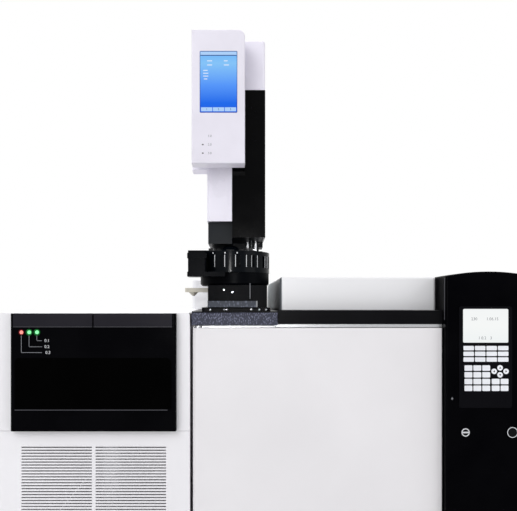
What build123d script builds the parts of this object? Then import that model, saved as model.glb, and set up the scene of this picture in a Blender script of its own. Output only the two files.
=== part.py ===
from build123d import *
import math
import os

# A bench gas chromatograph with a mass detector cabinet joined to its left
# side and an injector tower with a vial turret on its top deck.
# Millimetres. +Z is up and the front faces -Y. The origin lies on the bench,
# under the middle of the whole instrument.

# ---------------------------------------------------------------- sizes
# cabinets, as outside widths, heights and depths
FOOT_H = 12.0                 # rubber feet under both cabinets
FOOT_R = 15.0
CABINET_D = 540.0             # door face to rear panel
DETECTOR_W = 300.0            # left cabinet
CABINET_GAP = 3.0             # air between the two cabinets
SHEET = 1.5                   # folded sheet steel
PANEL_GAP = 0.5               # joint line between neighbouring panels
REAR_PROUD = 14.6             # how far the rear fittings stand out

# oven door and the opening behind it
DOOR_Z0 = 60.0
DOOR_T = 18.0                 # moulded outer panel
DOOR_SIDE_GAP = 1.5           # door to the edge of the cabinet
DOOR_HINGE_IN = 8.0           # hinge axis inwards from the door's left edge
DOOR_EDGE_R = 6.0             # rounding of the door's front edges
DOOR_BACK_R = 3.0             # rounding of its hinge edge at the back
PLUG_T = 27.0                 # insulated plug on the back of the door
PLUG_CLEAR = 6.0              # plug to the mouth of the oven, all round
OVEN_W = 295.0                # inside the liner
OVEN_H = 290.0
OVEN_D = 185.0                # liner depth, mouth to back wall
OVEN_LIFT = 32.0              # liner floor above the bottom edge of the door
LINER_T = 1.2
INSULATION_T = 30.0
FRAME_T = 2.5                 # front frame round the mouth
FRAME_BACK = 3.0              # frame face behind the back of the door panel
DOOR_LAP = 48.0               # door past the side of the oven
DOOR_OVER = 30.0              # door above the roof of the oven
ROOF_SPACE = 56.0             # oven roof to the top deck
CABINET_STEP = 2.5            # the left cabinet is this much lower than the deck
COLUMN_W = 134.2              # control column
COLUMN_GAP = 1.3              # between the door and the column

# what follows from the size of the oven
DOOR_W = OVEN_W + 2 * DOOR_LAP
DOOR_H = OVEN_LIFT + OVEN_H + DOOR_OVER
DECK_Z = DOOR_Z0 + OVEN_LIFT + OVEN_H + ROOF_SPACE
DETECTOR_H = DECK_Z - CABINET_STEP
GC_W = DOOR_SIDE_GAP + DOOR_W + COLUMN_GAP + COLUMN_W

# control column at the right of the door
COLUMN_PROUD = 12.0           # its face in front of the door
COLUMN_TOP = DECK_Z + 55.0  # height at its two upper corners
COLUMN_ARCH = 7.0             # rise of the arched top at its middle
COLUMN_D = 52.0               # its depth above the deck
COLUMN_EDGE_R = 3.0
LCD_W = 70.0
LCD_H = 52.0
LCD_Z = DECK_Z - 22.0  # centre height of the display
BEZEL_W = 82.0
BEZEL_Z0 = DECK_Z - 149.0
BEZEL_Z1 = DECK_Z + 8.0
BEZEL_T = 1.6
KEY_T = 1.0
BUTTON_Z = DECK_Z - 186.5
BUTTON_TRAVEL = 1.5

# heated transfer line from the oven into the left cabinet
TRANSFER_R = 11.0
TRANSFER_BACK = 135.0         # behind the door face
TRANSFER_Z = 300.0
TRANSFER_CLEAR = 1.0

# injector tower
TURRET_BACK = 70.0            # turret axis behind the door face
TURRET_R = 65.0
TURRET_Z0 = DECK_Z + 62.0
TURRET_RING_H = 8.0           # plain ring under the fluted rim
TURRET_TOP = DECK_Z + 96.0
TURRET_FLUTE_H = 19.5         # height of the flutes above the plain ring
TURRET_DOME_Z = DECK_Z + 110.0
VIAL_COUNT = 16
VIAL_PITCH_R = 51.0
VIAL_R = 5.8
VIAL_H = 31.0
VIAL_WALL = 1.0
VIAL_CAP_H = 4.0
SEPTUM_R = 1.2                # needle hole in a cap
NEEDLE_R = 0.3
NEEDLE_ANGLE = 45.0           # needle position on the vial circle
BOTTLE_R = 7.4
BOTTLE_PITCH_R = 30.0
BOTTLE_H = 33.0
FIT = 0.3                     # running clearance between moving pieces
TOWER_TOP = DECK_Z + 446.0
TOWER_FRONT = 50.0            # tower face behind the door face
BAY_Z0 = DECK_Z + 121.0  # syringe bay and its door
BAY_Z1 = DECK_Z + 364.5
SCREEN_FRONT = 5.0            # touch display face behind the door face
SCREEN_D = 31.0
SCREEN_Z0 = DECK_Z + 233.0
SCREEN_Z1 = DECK_Z + 444.0
CARRIAGE_STROKE = 28.0        # needle travel into a vial
PLUNGER_STROKE = 40.0

# ---------------------------------------------------------------- places
TOTAL_W = DETECTOR_W + CABINET_GAP + GC_W
DET_X0 = -TOTAL_W / 2
DET_X1 = DET_X0 + DETECTOR_W
GC_X0 = DET_X1 + CABINET_GAP
GC_X1 = TOTAL_W / 2
DOOR_Y = -CABINET_D / 2
REAR_Y = CABINET_D / 2
DOOR_X0 = GC_X0 + DOOR_SIDE_GAP
DOOR_X1 = DOOR_X0 + DOOR_W
DOOR_Z1 = DOOR_Z0 + DOOR_H
COL_X0 = DOOR_X1 + COLUMN_GAP
COL_X1 = GC_X1
COL_MID = (COL_X0 + COL_X1) / 2
COL_Y = DOOR_Y - COLUMN_PROUD
OVEN_MID = (DOOR_X0 + DOOR_X1) / 2
OVEN_X0 = OVEN_MID - OVEN_W / 2
OVEN_X1 = OVEN_MID + OVEN_W / 2
OVEN_Z0 = DOOR_Z0 + OVEN_LIFT
OVEN_Z1 = OVEN_Z0 + OVEN_H
OVEN_MID_Z = (OVEN_Z0 + OVEN_Z1) / 2
FRAME_Y = DOOR_Y + DOOR_T + FRAME_BACK
OVEN_BACK = FRAME_Y + FRAME_T + OVEN_D
TURRET_X = GC_X0 + 60.0         # turret axis
TURRET_Y = DOOR_Y + TURRET_BACK
TOWER_X1 = TURRET_X + 57.5       # right side of the tower
TRANSFER_Y = DOOR_Y + TRANSFER_BACK
NEEDLE_X = TURRET_X + VIAL_PITCH_R * math.cos(math.radians(NEEDLE_ANGLE))
NEEDLE_Y = TURRET_Y + VIAL_PITCH_R * math.sin(math.radians(NEEDLE_ANGLE))

os.makedirs("parts", exist_ok=True)


def save(builder, name):
    """Label a finished sub-part and write it as one STEP file."""
    builder.part.label = name
    export_step(builder.part, f"parts/{name}.step")


def block(x0, x1, y0, y1, z0, z1, mode=Mode.ADD):
    """A box between two corners, in the sub-part that is being built."""
    with Locations(((x0 + x1) / 2, (y0 + y1) / 2, (z0 + z1) / 2)):
        Box(x1 - x0, y1 - y0, z1 - z0, mode=mode)


def upright(x, y, z0, z1, radius, mode=Mode.ADD):
    """A vertical cylinder between two heights, in the sub-part being built."""
    with Locations((x, y, (z0 + z1) / 2)):
        Cylinder(radius, z1 - z0, mode=mode)


def across(x, y0, y1, z, radius, mode=Mode.ADD):
    """A cylinder that runs front to back, in the sub-part being built."""
    with Locations(Location((x, (y0 + y1) / 2, z), (90, 0, 0))):
        Cylinder(radius, y1 - y0, mode=mode)


def crosswise(x0, x1, y, z, radius, mode=Mode.ADD):
    """A cylinder that runs left to right, in the sub-part being built."""
    with Locations(Location(((x0 + x1) / 2, y, z), (0, 90, 0))):
        Cylinder(radius, x1 - x0, mode=mode)


def front_plane(y):
    """A sketch plane that faces the front, with X to the right and Y up."""
    return Plane(origin=(0, y, 0), x_dir=(1, 0, 0), z_dir=(0, -1, 0))


# ======================================================== right cabinet
DECK_H = 20.0                 # height of the folded deck
DECK_UNDER = DECK_Z - DECK_H
PAN_TOP = DOOR_Z0 - 2.0
COL_BACK = FRAME_Y            # back of the column housing beside the door
COL_UP_BACK = COL_Y + COLUMN_D
SIDE_TOP = DECK_UNDER - PANEL_GAP
PORT_R = 15.0                 # hole in the deck for the inlet and the detector
DETECTOR_X = 2 * OVEN_MID - NEEDLE_X
COIL_R = OVEN_MID - NEEDLE_X
COIL_Y = NEEDLE_Y

# base pan: a folded tray, stepped back where the control column stands
with BuildPart() as base_pan:
    with BuildSketch(Plane.XY.offset(FOOT_H)) as pan_outline:
        with BuildLine():
            Polyline(
                (GC_X0, DOOR_Y + 2), (COL_X0 - PANEL_GAP, DOOR_Y + 2),
                (COL_X0 - PANEL_GAP, COL_BACK), (GC_X1, COL_BACK),
                (GC_X1, REAR_Y - SHEET), (GC_X0, REAR_Y - SHEET), close=True,
            )
        make_face()
    extrude(amount=PAN_TOP - FOOT_H)
    with BuildSketch(Plane.XY.offset(FOOT_H + SHEET)):
        offset(pan_outline.sketch, amount=-SHEET)
    extrude(amount=PAN_TOP - FOOT_H, mode=Mode.SUBTRACT)
save(base_pan, "base_pan")

# side panels: flat sheets with a return flange at the back; the right one has
# louvres and the left one a hole for the transfer line
LOUVRE_W = 60.0
LOUVRE_H = 3.0
LOUVRE_PITCH = 9.0
LOUVRE_ROWS = 9
LOUVRE_IN = 120.0             # middle of the louvres in front of the rear panel
LOUVRE_Z = DECK_Z - 108.0
FLANGE_W = 14.0
SIDE_Z0 = PAN_TOP + PANEL_GAP
FLANGE_Y0 = REAR_Y - 2 * SHEET
FLANGE_Y1 = REAR_Y - SHEET
with BuildPart() as side_panels:
    block(GC_X0, GC_X0 + SHEET, FRAME_Y, FLANGE_Y1, SIDE_Z0, SIDE_TOP)
    block(GC_X0 + SHEET, GC_X0 + FLANGE_W, FLANGE_Y0, FLANGE_Y1, SIDE_Z0, SIDE_TOP)
    crosswise(GC_X0, GC_X0 + SHEET, TRANSFER_Y, TRANSFER_Z, TRANSFER_R + TRANSFER_CLEAR, mode=Mode.SUBTRACT)
    block(GC_X1 - SHEET, GC_X1, COL_BACK, FLANGE_Y1, SIDE_Z0, SIDE_TOP)
    block(GC_X1 - FLANGE_W, GC_X1 - SHEET, FLANGE_Y0, FLANGE_Y1, SIDE_Z0, SIDE_TOP)
    with BuildSketch(Plane.YZ.offset(GC_X1)):
        with Locations((REAR_Y - LOUVRE_IN, LOUVRE_Z)):
            with GridLocations(LOUVRE_W + 12, LOUVRE_PITCH, 2, LOUVRE_ROWS):
                SlotOverall(LOUVRE_W, LOUVRE_H)
    extrude(amount=-SHEET, mode=Mode.SUBTRACT)
save(side_panels, "side_panels")

# vent ports and their flaps in the rear panel
PORT_W = 80.0
PORT_H = 50.0
PORT_X = OVEN_MID + 60.0
EXHAUST_Z = 340.0             # centre of each port
INTAKE_Z = 130.0
FLAP_LAP = 4.0                # flap over the edge of its port
FLAP_T = 1.5
FLAP_PIN_R = 2.0
FLAP_BARREL_R = 3.0
FLAP_AXIS_Y = REAR_Y + 4.0
FLAP_AXIS_UP = PORT_H / 2 + FLAP_LAP + FLAP_BARREL_R
FLAP_W = PORT_W + 2 * FLAP_LAP
LUG_T = 3.0
LUG_R = 4.0
SOCKET_W = 28.0               # mains inlet cut-outs
SOCKET_H = 24.0
SOCKET_X = GC_X1 - 45.5
SOCKET_Z = 90.0
SWITCH_X = SOCKET_X - 40.0
SWITCH_W = 22.0
SWITCH_H = 28.0
DET_SOCKET_X = DET_X0 + 60.0
GAS_X = GC_X0 + 42.5  # row of gas fittings
GAS_PITCH = 26.0
GAS_COUNT = 4
GAS_Z = 300.0
GAS_HOLE_R = 6.5
GAS_BORE_R = 1.6
GAS_CLEAR = 0.1
GAS_BORE_L = 10.6

with BuildPart() as rear_panel:
    with BuildSketch(Plane.XZ.offset(-(REAR_Y - SHEET))):
        with BuildLine():
            Polyline(
                (GC_X0, FOOT_H), (GC_X1, FOOT_H),
                (GC_X1, SIDE_TOP), (GC_X0, SIDE_TOP), close=True,
            )
        make_face()
        with Locations((PORT_X, EXHAUST_Z), (PORT_X, INTAKE_Z)):
            Rectangle(PORT_W, PORT_H, mode=Mode.SUBTRACT)
        with Locations((SOCKET_X, SOCKET_Z)):
            Rectangle(SOCKET_W, SOCKET_H, mode=Mode.SUBTRACT)
        with Locations((SWITCH_X, SOCKET_Z)):
            Rectangle(SWITCH_W, SWITCH_H, mode=Mode.SUBTRACT)
        with Locations((GAS_X + (GAS_COUNT - 1) * GAS_PITCH / 2, GAS_Z)):
            with GridLocations(GAS_PITCH, 1, GAS_COUNT, 1):
                Circle(GAS_HOLE_R, mode=Mode.SUBTRACT)
    extrude(amount=-SHEET)
    for port_z in (EXHAUST_Z, INTAKE_Z):
        for side in (-1, 1):
            lug_x = PORT_X + side * (FLAP_W / 2 + FIT + LUG_T / 2)
            axis_z = port_z + FLAP_AXIS_UP
            block(lug_x - LUG_T / 2, lug_x + LUG_T / 2, REAR_Y, FLAP_AXIS_Y, axis_z - LUG_R, axis_z + LUG_R)
            with Locations(Location((lug_x, FLAP_AXIS_Y, axis_z), (0, 90, 0))):
                Cylinder(LUG_R, LUG_T)
                Cylinder(FLAP_PIN_R + FIT, LUG_T, mode=Mode.SUBTRACT)
save(rear_panel, "rear_panel")


def vent_flap(port_z):
    """A flap that hangs from two stub pins over its port."""
    axis_z = port_z + FLAP_AXIS_UP
    with BuildPart() as flap:
        block(
            PORT_X - FLAP_W / 2, PORT_X + FLAP_W / 2,
            REAR_Y + PANEL_GAP, REAR_Y + PANEL_GAP + FLAP_T,
            port_z - PORT_H / 2 - FLAP_LAP, axis_z,
        )
        with Locations(Location((PORT_X, FLAP_AXIS_Y, axis_z), (0, 90, 0))):
            Cylinder(FLAP_BARREL_R, FLAP_W)
            Cylinder(FLAP_PIN_R, FLAP_W + 2 * (FIT + LUG_T))
    return flap


save(vent_flap(EXHAUST_Z), "exhaust_flap")
save(vent_flap(INTAKE_Z), "intake_flap")

# top deck: a folded lid with a step for the column and two port holes
with BuildPart() as top_deck:
    with BuildSketch(Plane.XY.offset(DECK_UNDER)) as deck_outline:
        with BuildLine():
            Polyline(
                (GC_X0, DOOR_Y + 4), (COL_X0 - PANEL_GAP, DOOR_Y + 4),
                (COL_X0 - PANEL_GAP, COL_UP_BACK + PANEL_GAP),
                (GC_X1, COL_UP_BACK + PANEL_GAP),
                (GC_X1, REAR_Y), (GC_X0, REAR_Y), close=True,
            )
        make_face()
    extrude(amount=DECK_H)
    with BuildSketch(Plane.XY.offset(DECK_UNDER)):
        offset(deck_outline.sketch, amount=-SHEET)
    extrude(amount=DECK_H - SHEET, mode=Mode.SUBTRACT)
    for port_x in (NEEDLE_X, DETECTOR_X):
        upright(port_x, NEEDLE_Y, DECK_UNDER, DECK_Z, PORT_R, mode=Mode.SUBTRACT)
save(top_deck, "top_deck")

# front frame: the steel face round the oven mouth, with a top rail
RAIL_X0 = GC_X0 + 131.5
RAIL_FRONT = 5.0
RAIL_CLEAR = 1.0
with BuildPart() as front_frame:
    with BuildSketch(front_plane(FRAME_Y)):
        with BuildLine():
            Polyline(
                (GC_X0 + SHEET, PAN_TOP), (COL_X0 - PANEL_GAP, PAN_TOP),
                (COL_X0 - PANEL_GAP, DECK_UNDER), (GC_X0 + SHEET, DECK_UNDER), close=True,
            )
        make_face()
        with Locations((OVEN_MID, OVEN_MID_Z)):
            Rectangle(OVEN_W, OVEN_H, mode=Mode.SUBTRACT)
    extrude(amount=-FRAME_T)
    block(RAIL_X0, COL_X0 - PANEL_GAP, DOOR_Y + RAIL_FRONT, FRAME_Y, DOOR_Z1 + RAIL_CLEAR, DECK_UNDER)
save(front_frame, "front_frame")

# black trim on the front edge of the deck
TRIM_X0 = GC_X0 + 135.3
with BuildPart() as deck_trim:
    block(TRIM_X0, COL_X0 - PANEL_GAP, DOOR_Y, DOOR_Y + 4, DECK_UNDER, DECK_Z + SHEET)
    block(TRIM_X0, COL_X0 - PANEL_GAP, DOOR_Y + 4, DOOR_Y + 24, DECK_Z, DECK_Z + SHEET)
    fillet(deck_trim.edges().filter_by(Axis.X).group_by(Axis.Z)[-1].sort_by(Axis.Y)[0], radius=1.2)
save(deck_trim, "deck_trim")


# ======================================================== oven
LINER_FRONT = FRAME_Y + FRAME_T
SHAFT_R = 4.0
SHAFT_HOLE_R = 9.0
FAN_R = 105.0
FAN_T = 18.0
FAN_BLADES = 8
FAN_OFF_WALL = 12.0
BAFFLE_SIDE = 250.0
BAFFLE_OFF_WALL = 42.0
BAFFLE_HOLE_R = 62.0
BAFFLE_SLOTS = 16
MOTOR_R = 42.0
MOTOR_L = 62.0
INSULATION_BACK = OVEN_BACK + LINER_T + INSULATION_T
FITTING_R = 9.0
FITTING_CLEAR = 1.0

# liner: a welded box, open to the front, with a shaft hole and two roof holes
with BuildPart() as oven_liner:
    with BuildSketch(front_plane(OVEN_BACK + LINER_T)) as liner_outline:
        with Locations((OVEN_MID, OVEN_MID_Z)):
            Rectangle(OVEN_W + 2 * LINER_T, OVEN_H + 2 * LINER_T)
    extrude(amount=OVEN_BACK + LINER_T - LINER_FRONT)
    with BuildSketch(front_plane(OVEN_BACK)):
        with Locations((OVEN_MID, OVEN_MID_Z)):
            Rectangle(OVEN_W, OVEN_H)
    extrude(amount=OVEN_BACK - LINER_FRONT, mode=Mode.SUBTRACT)
    across(OVEN_MID, OVEN_BACK, OVEN_BACK + LINER_T, OVEN_MID_Z, SHAFT_HOLE_R, mode=Mode.SUBTRACT)
    for port_x in (NEEDLE_X, DETECTOR_X):
        upright(port_x, NEEDLE_Y, OVEN_Z1, OVEN_Z1 + LINER_T, FITTING_R + FITTING_CLEAR, mode=Mode.SUBTRACT)
    crosswise(
        OVEN_X0 - LINER_T, OVEN_X0, TRANSFER_Y, TRANSFER_Z, TRANSFER_R + TRANSFER_CLEAR,
        mode=Mode.SUBTRACT,
    )
save(oven_liner, "oven_liner")

# insulation: a thick box of ceramic wool round the liner
with BuildPart() as oven_insulation:
    wool = INSULATION_T + LINER_T
    block(
        OVEN_X0 - wool, OVEN_X1 + wool, LINER_FRONT, INSULATION_BACK,
        OVEN_Z0 - wool, OVEN_Z1 + wool,
    )
    block(
        OVEN_X0 - LINER_T, OVEN_X1 + LINER_T, LINER_FRONT, OVEN_BACK + LINER_T,
        OVEN_Z0 - LINER_T, OVEN_Z1 + LINER_T, mode=Mode.SUBTRACT,
    )
    across(OVEN_MID, OVEN_BACK, INSULATION_BACK, OVEN_MID_Z, SHAFT_HOLE_R, mode=Mode.SUBTRACT)
    for port_x in (NEEDLE_X, DETECTOR_X):
        upright(port_x, NEEDLE_Y, OVEN_Z1, OVEN_Z1 + wool, FITTING_R + FITTING_CLEAR, mode=Mode.SUBTRACT)
    crosswise(
        OVEN_X0 - wool, OVEN_X0, TRANSFER_Y, TRANSFER_Z, TRANSFER_R + TRANSFER_CLEAR,
        mode=Mode.SUBTRACT,
    )
save(oven_insulation, "oven_insulation")

# baffle: a plate with a central eye and a ring of slots, on four spacers
with BuildPart() as fan_baffle:
    with BuildSketch(front_plane(OVEN_BACK - BAFFLE_OFF_WALL)):
        with Locations((OVEN_MID, OVEN_MID_Z)):
            RectangleRounded(BAFFLE_SIDE, BAFFLE_SIDE, 20)
            Circle(BAFFLE_HOLE_R, mode=Mode.SUBTRACT)
            with PolarLocations(BAFFLE_SIDE / 2 - 22, BAFFLE_SLOTS):
                SlotOverall(26, 9, rotation=90, mode=Mode.SUBTRACT)
    extrude(amount=-1.0)
    for side in (-1, 1):
        for level in (-1, 1):
            across(
                OVEN_MID + side * (BAFFLE_SIDE / 2 - 10), OVEN_BACK - BAFFLE_OFF_WALL + 1, OVEN_BACK,
                OVEN_MID_Z + level * (BAFFLE_SIDE / 2 - 10), 4,
            )
save(fan_baffle, "fan_baffle")

# stirring fan: hub, back disc and radial blades on a long shaft
FAN_FRONT = OVEN_BACK - FAN_OFF_WALL - FAN_T
with BuildPart() as oven_fan:
    across(OVEN_MID, FAN_FRONT + FAN_T - 1.5, FAN_FRONT + FAN_T, OVEN_MID_Z, FAN_R)
    across(OVEN_MID, FAN_FRONT, FAN_FRONT + FAN_T, OVEN_MID_Z, 14)
    across(OVEN_MID, FAN_FRONT + FAN_T, INSULATION_BACK + MOTOR_L / 2, OVEN_MID_Z, SHAFT_R)
    with BuildSketch(front_plane(FAN_FRONT + FAN_T - 1.5)):
        with Locations((OVEN_MID, OVEN_MID_Z)):
            with PolarLocations(FAN_R / 2 + 8, FAN_BLADES):
                Rectangle(FAN_R - 20, 1.5)
    extrude(amount=FAN_T - 1.5)
save(oven_fan, "oven_fan")

# fan motor behind the insulation, bored for the shaft
with BuildPart() as fan_motor:
    across(OVEN_MID, INSULATION_BACK, INSULATION_BACK + 4, OVEN_MID_Z, MOTOR_R + 12)
    across(OVEN_MID, INSULATION_BACK + 4, INSULATION_BACK + MOTOR_L, OVEN_MID_Z, MOTOR_R)
    fillet(fan_motor.edges().group_by(Axis.Y)[-1], radius=6)
    across(
        OVEN_MID, INSULATION_BACK, INSULATION_BACK + MOTOR_L / 2 + 2, OVEN_MID_Z,
        SHAFT_R + FIT, mode=Mode.SUBTRACT,
    )
save(fan_motor, "fan_motor")

# heater: an open ring of sheathed element round the fan, held off the baffle
HEATER_R = FAN_R + 8.0
with BuildPart() as heater_coil:
    for ring_y in (FAN_FRONT + 3, FAN_FRONT + 13):
        with BuildSketch(Plane.XY.offset(OVEN_MID_Z)):
            with Locations((OVEN_MID + HEATER_R, ring_y)):
                RegularPolygon(3.2, 6)
        revolve(axis=Axis((OVEN_MID, 0, OVEN_MID_Z), (0, 1, 0)), revolution_arc=360)
    for angle in (45, 135, 225, 315):
        post_x = OVEN_MID + HEATER_R * math.cos(math.radians(angle))
        post_z = OVEN_MID_Z + HEATER_R * math.sin(math.radians(angle))
        block(post_x - 2, post_x + 2, FAN_FRONT + 3, OVEN_BACK, post_z - 2, post_z + 2)
save(heater_coil, "heater_coil")

# column cage: a sheet ring with a hanger that hooks on the oven roof
COIL_W = 24.0
COIL_T = 4.0
CAGE_T = 1.2
CAGE_W = 34.0
with BuildPart() as column_cage:
    across(OVEN_MID, COIL_Y - CAGE_W / 2, COIL_Y + CAGE_W / 2, OVEN_MID_Z, COIL_R - COIL_T)
    across(
        OVEN_MID, COIL_Y - CAGE_W / 2, COIL_Y + CAGE_W / 2, OVEN_MID_Z,
        COIL_R - COIL_T - CAGE_T, mode=Mode.SUBTRACT,
    )
    for hanger_y in (COIL_Y - CAGE_W / 2 - 1, COIL_Y + CAGE_W / 2 + 1):
        with BuildSketch(front_plane(hanger_y)):
            with Locations((OVEN_MID, (OVEN_MID_Z + COIL_R - COIL_T - 8 + OVEN_Z1) / 2)):
                Rectangle(16, OVEN_Z1 - OVEN_MID_Z - COIL_R + COIL_T + 8)
        extrude(amount=1, both=True)
    block(
        OVEN_MID - 8, OVEN_MID + 8, COIL_Y - CAGE_W / 2 - 2, COIL_Y + CAGE_W / 2 + 2,
        OVEN_MID_Z + COIL_R - COIL_T - 8, OVEN_MID_Z + COIL_R - COIL_T - 6,
    )
save(column_cage, "column_cage")

# capillary column: a wound bundle with one end up to each fitting
CAPILLARY_R = 0.8
FITTING_DROP = 16.0           # fittings below the oven roof
with BuildPart() as capillary_column:
    with BuildSketch(Plane.XY.offset(OVEN_MID_Z)):
        with Locations((OVEN_MID + COIL_R - COIL_T / 2, COIL_Y)):
            Rectangle(COIL_T, COIL_W)
    revolve(axis=Axis((OVEN_MID, 0, OVEN_MID_Z), (0, 1, 0)), revolution_arc=360)
    for end_x in (NEEDLE_X + CAPILLARY_R, DETECTOR_X - CAPILLARY_R):
        upright(end_x, COIL_Y, OVEN_MID_Z, OVEN_Z1 - FITTING_DROP, CAPILLARY_R)
save(capillary_column, "capillary_column")


# ======================================================== oven door
HINGE_X = DOOR_X0 + DOOR_HINGE_IN
HINGE_Y = DOOR_Y + DOOR_T / 2
HINGE_PIN_R = 3.0
HINGE_PIN_IN = 12.0           # pin length inside the door
HINGE_LEAF_T = 3.0
HINGE_LEAF_W = 12.0
DIMPLE_R = 1.5
DIMPLE_DEEP = 0.4
DIMPLE_COLS = 7
DIMPLE_ROWS = 2
DIMPLE_PITCH = 9.0
DIMPLE_X = DOOR_X0 + 56.0  # middle of the dimple field
DIMPLE_Z = DOOR_Z1 - 38.0
SEAL_T = FRAME_BACK

# outer door panel with rounded edges, pin bores and a small field of dimples
with BuildPart() as oven_door_panel:
    block(DOOR_X0, DOOR_X1, DOOR_Y, DOOR_Y + DOOR_T, DOOR_Z0, DOOR_Z1)
    front_edges = oven_door_panel.edges().filter_by(Axis.Z).group_by(Axis.Y)[0]
    fillet(front_edges.sort_by(Axis.X)[0], radius=DOOR_EDGE_R)
    fillet(
        oven_door_panel.edges().filter_by(Axis.Z).group_by(Axis.Y)[-1].sort_by(Axis.X)[0],
        radius=DOOR_BACK_R,
    )
    fillet(
        oven_door_panel.edges().filter_by(Axis.Z).group_by(Axis.Y)[0].sort_by(Axis.X)[-1],
        radius=2.0,
    )
    for bore_z in (DOOR_Z0, DOOR_Z1 - HINGE_PIN_IN - 1):
        upright(HINGE_X, HINGE_Y, bore_z, bore_z + HINGE_PIN_IN + 1, HINGE_PIN_R + FIT, mode=Mode.SUBTRACT)
    with BuildSketch(front_plane(DOOR_Y)):
        with Locations((DIMPLE_X, DIMPLE_Z)):
            with GridLocations(DIMPLE_PITCH, DIMPLE_PITCH, DIMPLE_COLS, DIMPLE_ROWS):
                Circle(DIMPLE_R)
    extrude(amount=-DIMPLE_DEEP, mode=Mode.SUBTRACT)
save(oven_door_panel, "oven_door_panel")

# plug: the insulated pan on the back of the door, with its rim seal
with BuildPart() as oven_door_plug:
    with BuildSketch(front_plane(DOOR_Y + DOOR_T)):
        with Locations((OVEN_MID, OVEN_MID_Z)):
            RectangleRounded(OVEN_W + 24, OVEN_H + 24, 8)
    extrude(amount=-(SEAL_T - FIT))
    with BuildSketch(front_plane(DOOR_Y + DOOR_T + SEAL_T - FIT)):
        with Locations((OVEN_MID, OVEN_MID_Z)):
            RectangleRounded(OVEN_W - 2 * PLUG_CLEAR, OVEN_H - 2 * PLUG_CLEAR, 6)
    extrude(amount=-PLUG_T, taper=3)
save(oven_door_plug, "oven_door_plug")

# hinge pins on leaves that are welded to the front frame
with BuildPart() as hinge_pins:
    upright(HINGE_X, HINGE_Y, DOOR_Z1 - HINGE_PIN_IN, DOOR_Z1 + FIT + HINGE_LEAF_T, HINGE_PIN_R)
    block(
        HINGE_X - HINGE_LEAF_W / 2, HINGE_X + HINGE_LEAF_W / 2, HINGE_Y, FRAME_Y,
        DOOR_Z1 + FIT, DOOR_Z1 + FIT + HINGE_LEAF_T,
    )
    upright(HINGE_X, HINGE_Y, DOOR_Z1 + FIT, DOOR_Z1 + FIT + HINGE_LEAF_T, HINGE_LEAF_W / 2)
    upright(HINGE_X, HINGE_Y, PAN_TOP, DOOR_Z0 + HINGE_PIN_IN, HINGE_PIN_R)
    block(
        HINGE_X - HINGE_LEAF_W / 2, HINGE_X + HINGE_LEAF_W / 2, HINGE_Y, FRAME_Y,
        PAN_TOP, DOOR_Z0 - FIT,
    )
    upright(HINGE_X, HINGE_Y, PAN_TOP, DOOR_Z0 - FIT, HINGE_LEAF_W / 2)
save(hinge_pins, "hinge_pins")

# ======================================================== control column
COLUMN_Z0 = FOOT_H + 4.0
BEZEL_X = COL_MID - 6.2
LCD_POCKET = 4.0
LCD_SINK = 0.6                # glass behind the face of the bezel
KEY_R = 1.2
FUNCTION_KEY = (16.0, 6.8)    # width and height of one key
FUNCTION_PITCH = (17.7, 8.8)
FUNCTION_COLUMNS = 4
FUNCTION_ROWS = 3
FUNCTION_Z = DECK_Z - 65.2
NUMBER_KEY = (11.9, 8.4)
NUMBER_PITCH = (13.7, 10.4)
NUMBER_COLUMNS = 3
NUMBER_ROWS = 4
NUMBER_X = BEZEL_X - 13.3
NUMBER_Z = DECK_Z - 102.7
SIDE_KEY_COLUMNS = 2
SIDE_KEY_ROWS = 2
SIDE_KEY_X = BEZEL_X + 21.8
SIDE_KEY_Z = NUMBER_Z - NUMBER_PITCH[1]
ARROW_R = 4.2
ARROW_X = BEZEL_X + 21.8
ARROW_Z = DECK_Z - 92.2
ARROW_RING = (9.2, 5.4)       # arrow keys left and right, up and down
START_R = 8.5
STOP_R = 6.7
START_X = COL_MID + 35.0
STOP_X = COL_MID - 37.5
BUTTON_PROUD = 2.0
BUTTON_DEEP = 6.0

# housing: an arched front profile, deeper above the deck
with BuildPart() as column_housing:
    with BuildSketch(front_plane(COL_BACK)) as column_face:
        with BuildLine():
            Polyline((COL_X0, COLUMN_TOP), (COL_X0, COLUMN_Z0), (COL_X1, COLUMN_Z0), (COL_X1, COLUMN_TOP))
            ThreePointArc((COL_X1, COLUMN_TOP), (COL_MID, COLUMN_TOP + COLUMN_ARCH), (COL_X0, COLUMN_TOP))
        make_face()
    extrude(amount=COL_BACK - COL_Y)
    with BuildSketch(front_plane(COL_UP_BACK)):
        with BuildLine():
            Polyline(
                (COL_X0, COLUMN_TOP), (COL_X0, DECK_Z + SHEET),
                (COL_X1, DECK_Z + SHEET), (COL_X1, COLUMN_TOP),
            )
            ThreePointArc((COL_X1, COLUMN_TOP), (COL_MID, COLUMN_TOP + COLUMN_ARCH), (COL_X0, COLUMN_TOP))
        make_face()
    extrude(amount=COL_UP_BACK - COL_BACK)
    fillet(column_housing.edges().group_by(Axis.Y)[0], radius=COLUMN_EDGE_R)
    with BuildSketch(front_plane(COL_Y)):
        with Locations((BEZEL_X, LCD_Z)):
            RectangleRounded(LCD_W, LCD_H, 2)
    extrude(amount=-LCD_POCKET, mode=Mode.SUBTRACT)
    for button_x, button_r in ((START_X, START_R), (STOP_X, STOP_R)):
        across(button_x, COL_Y, COL_Y + BUTTON_DEEP + BUTTON_TRAVEL + FIT, BUTTON_Z, button_r + FIT,
               mode=Mode.SUBTRACT)
save(column_housing, "column_housing")

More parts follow.
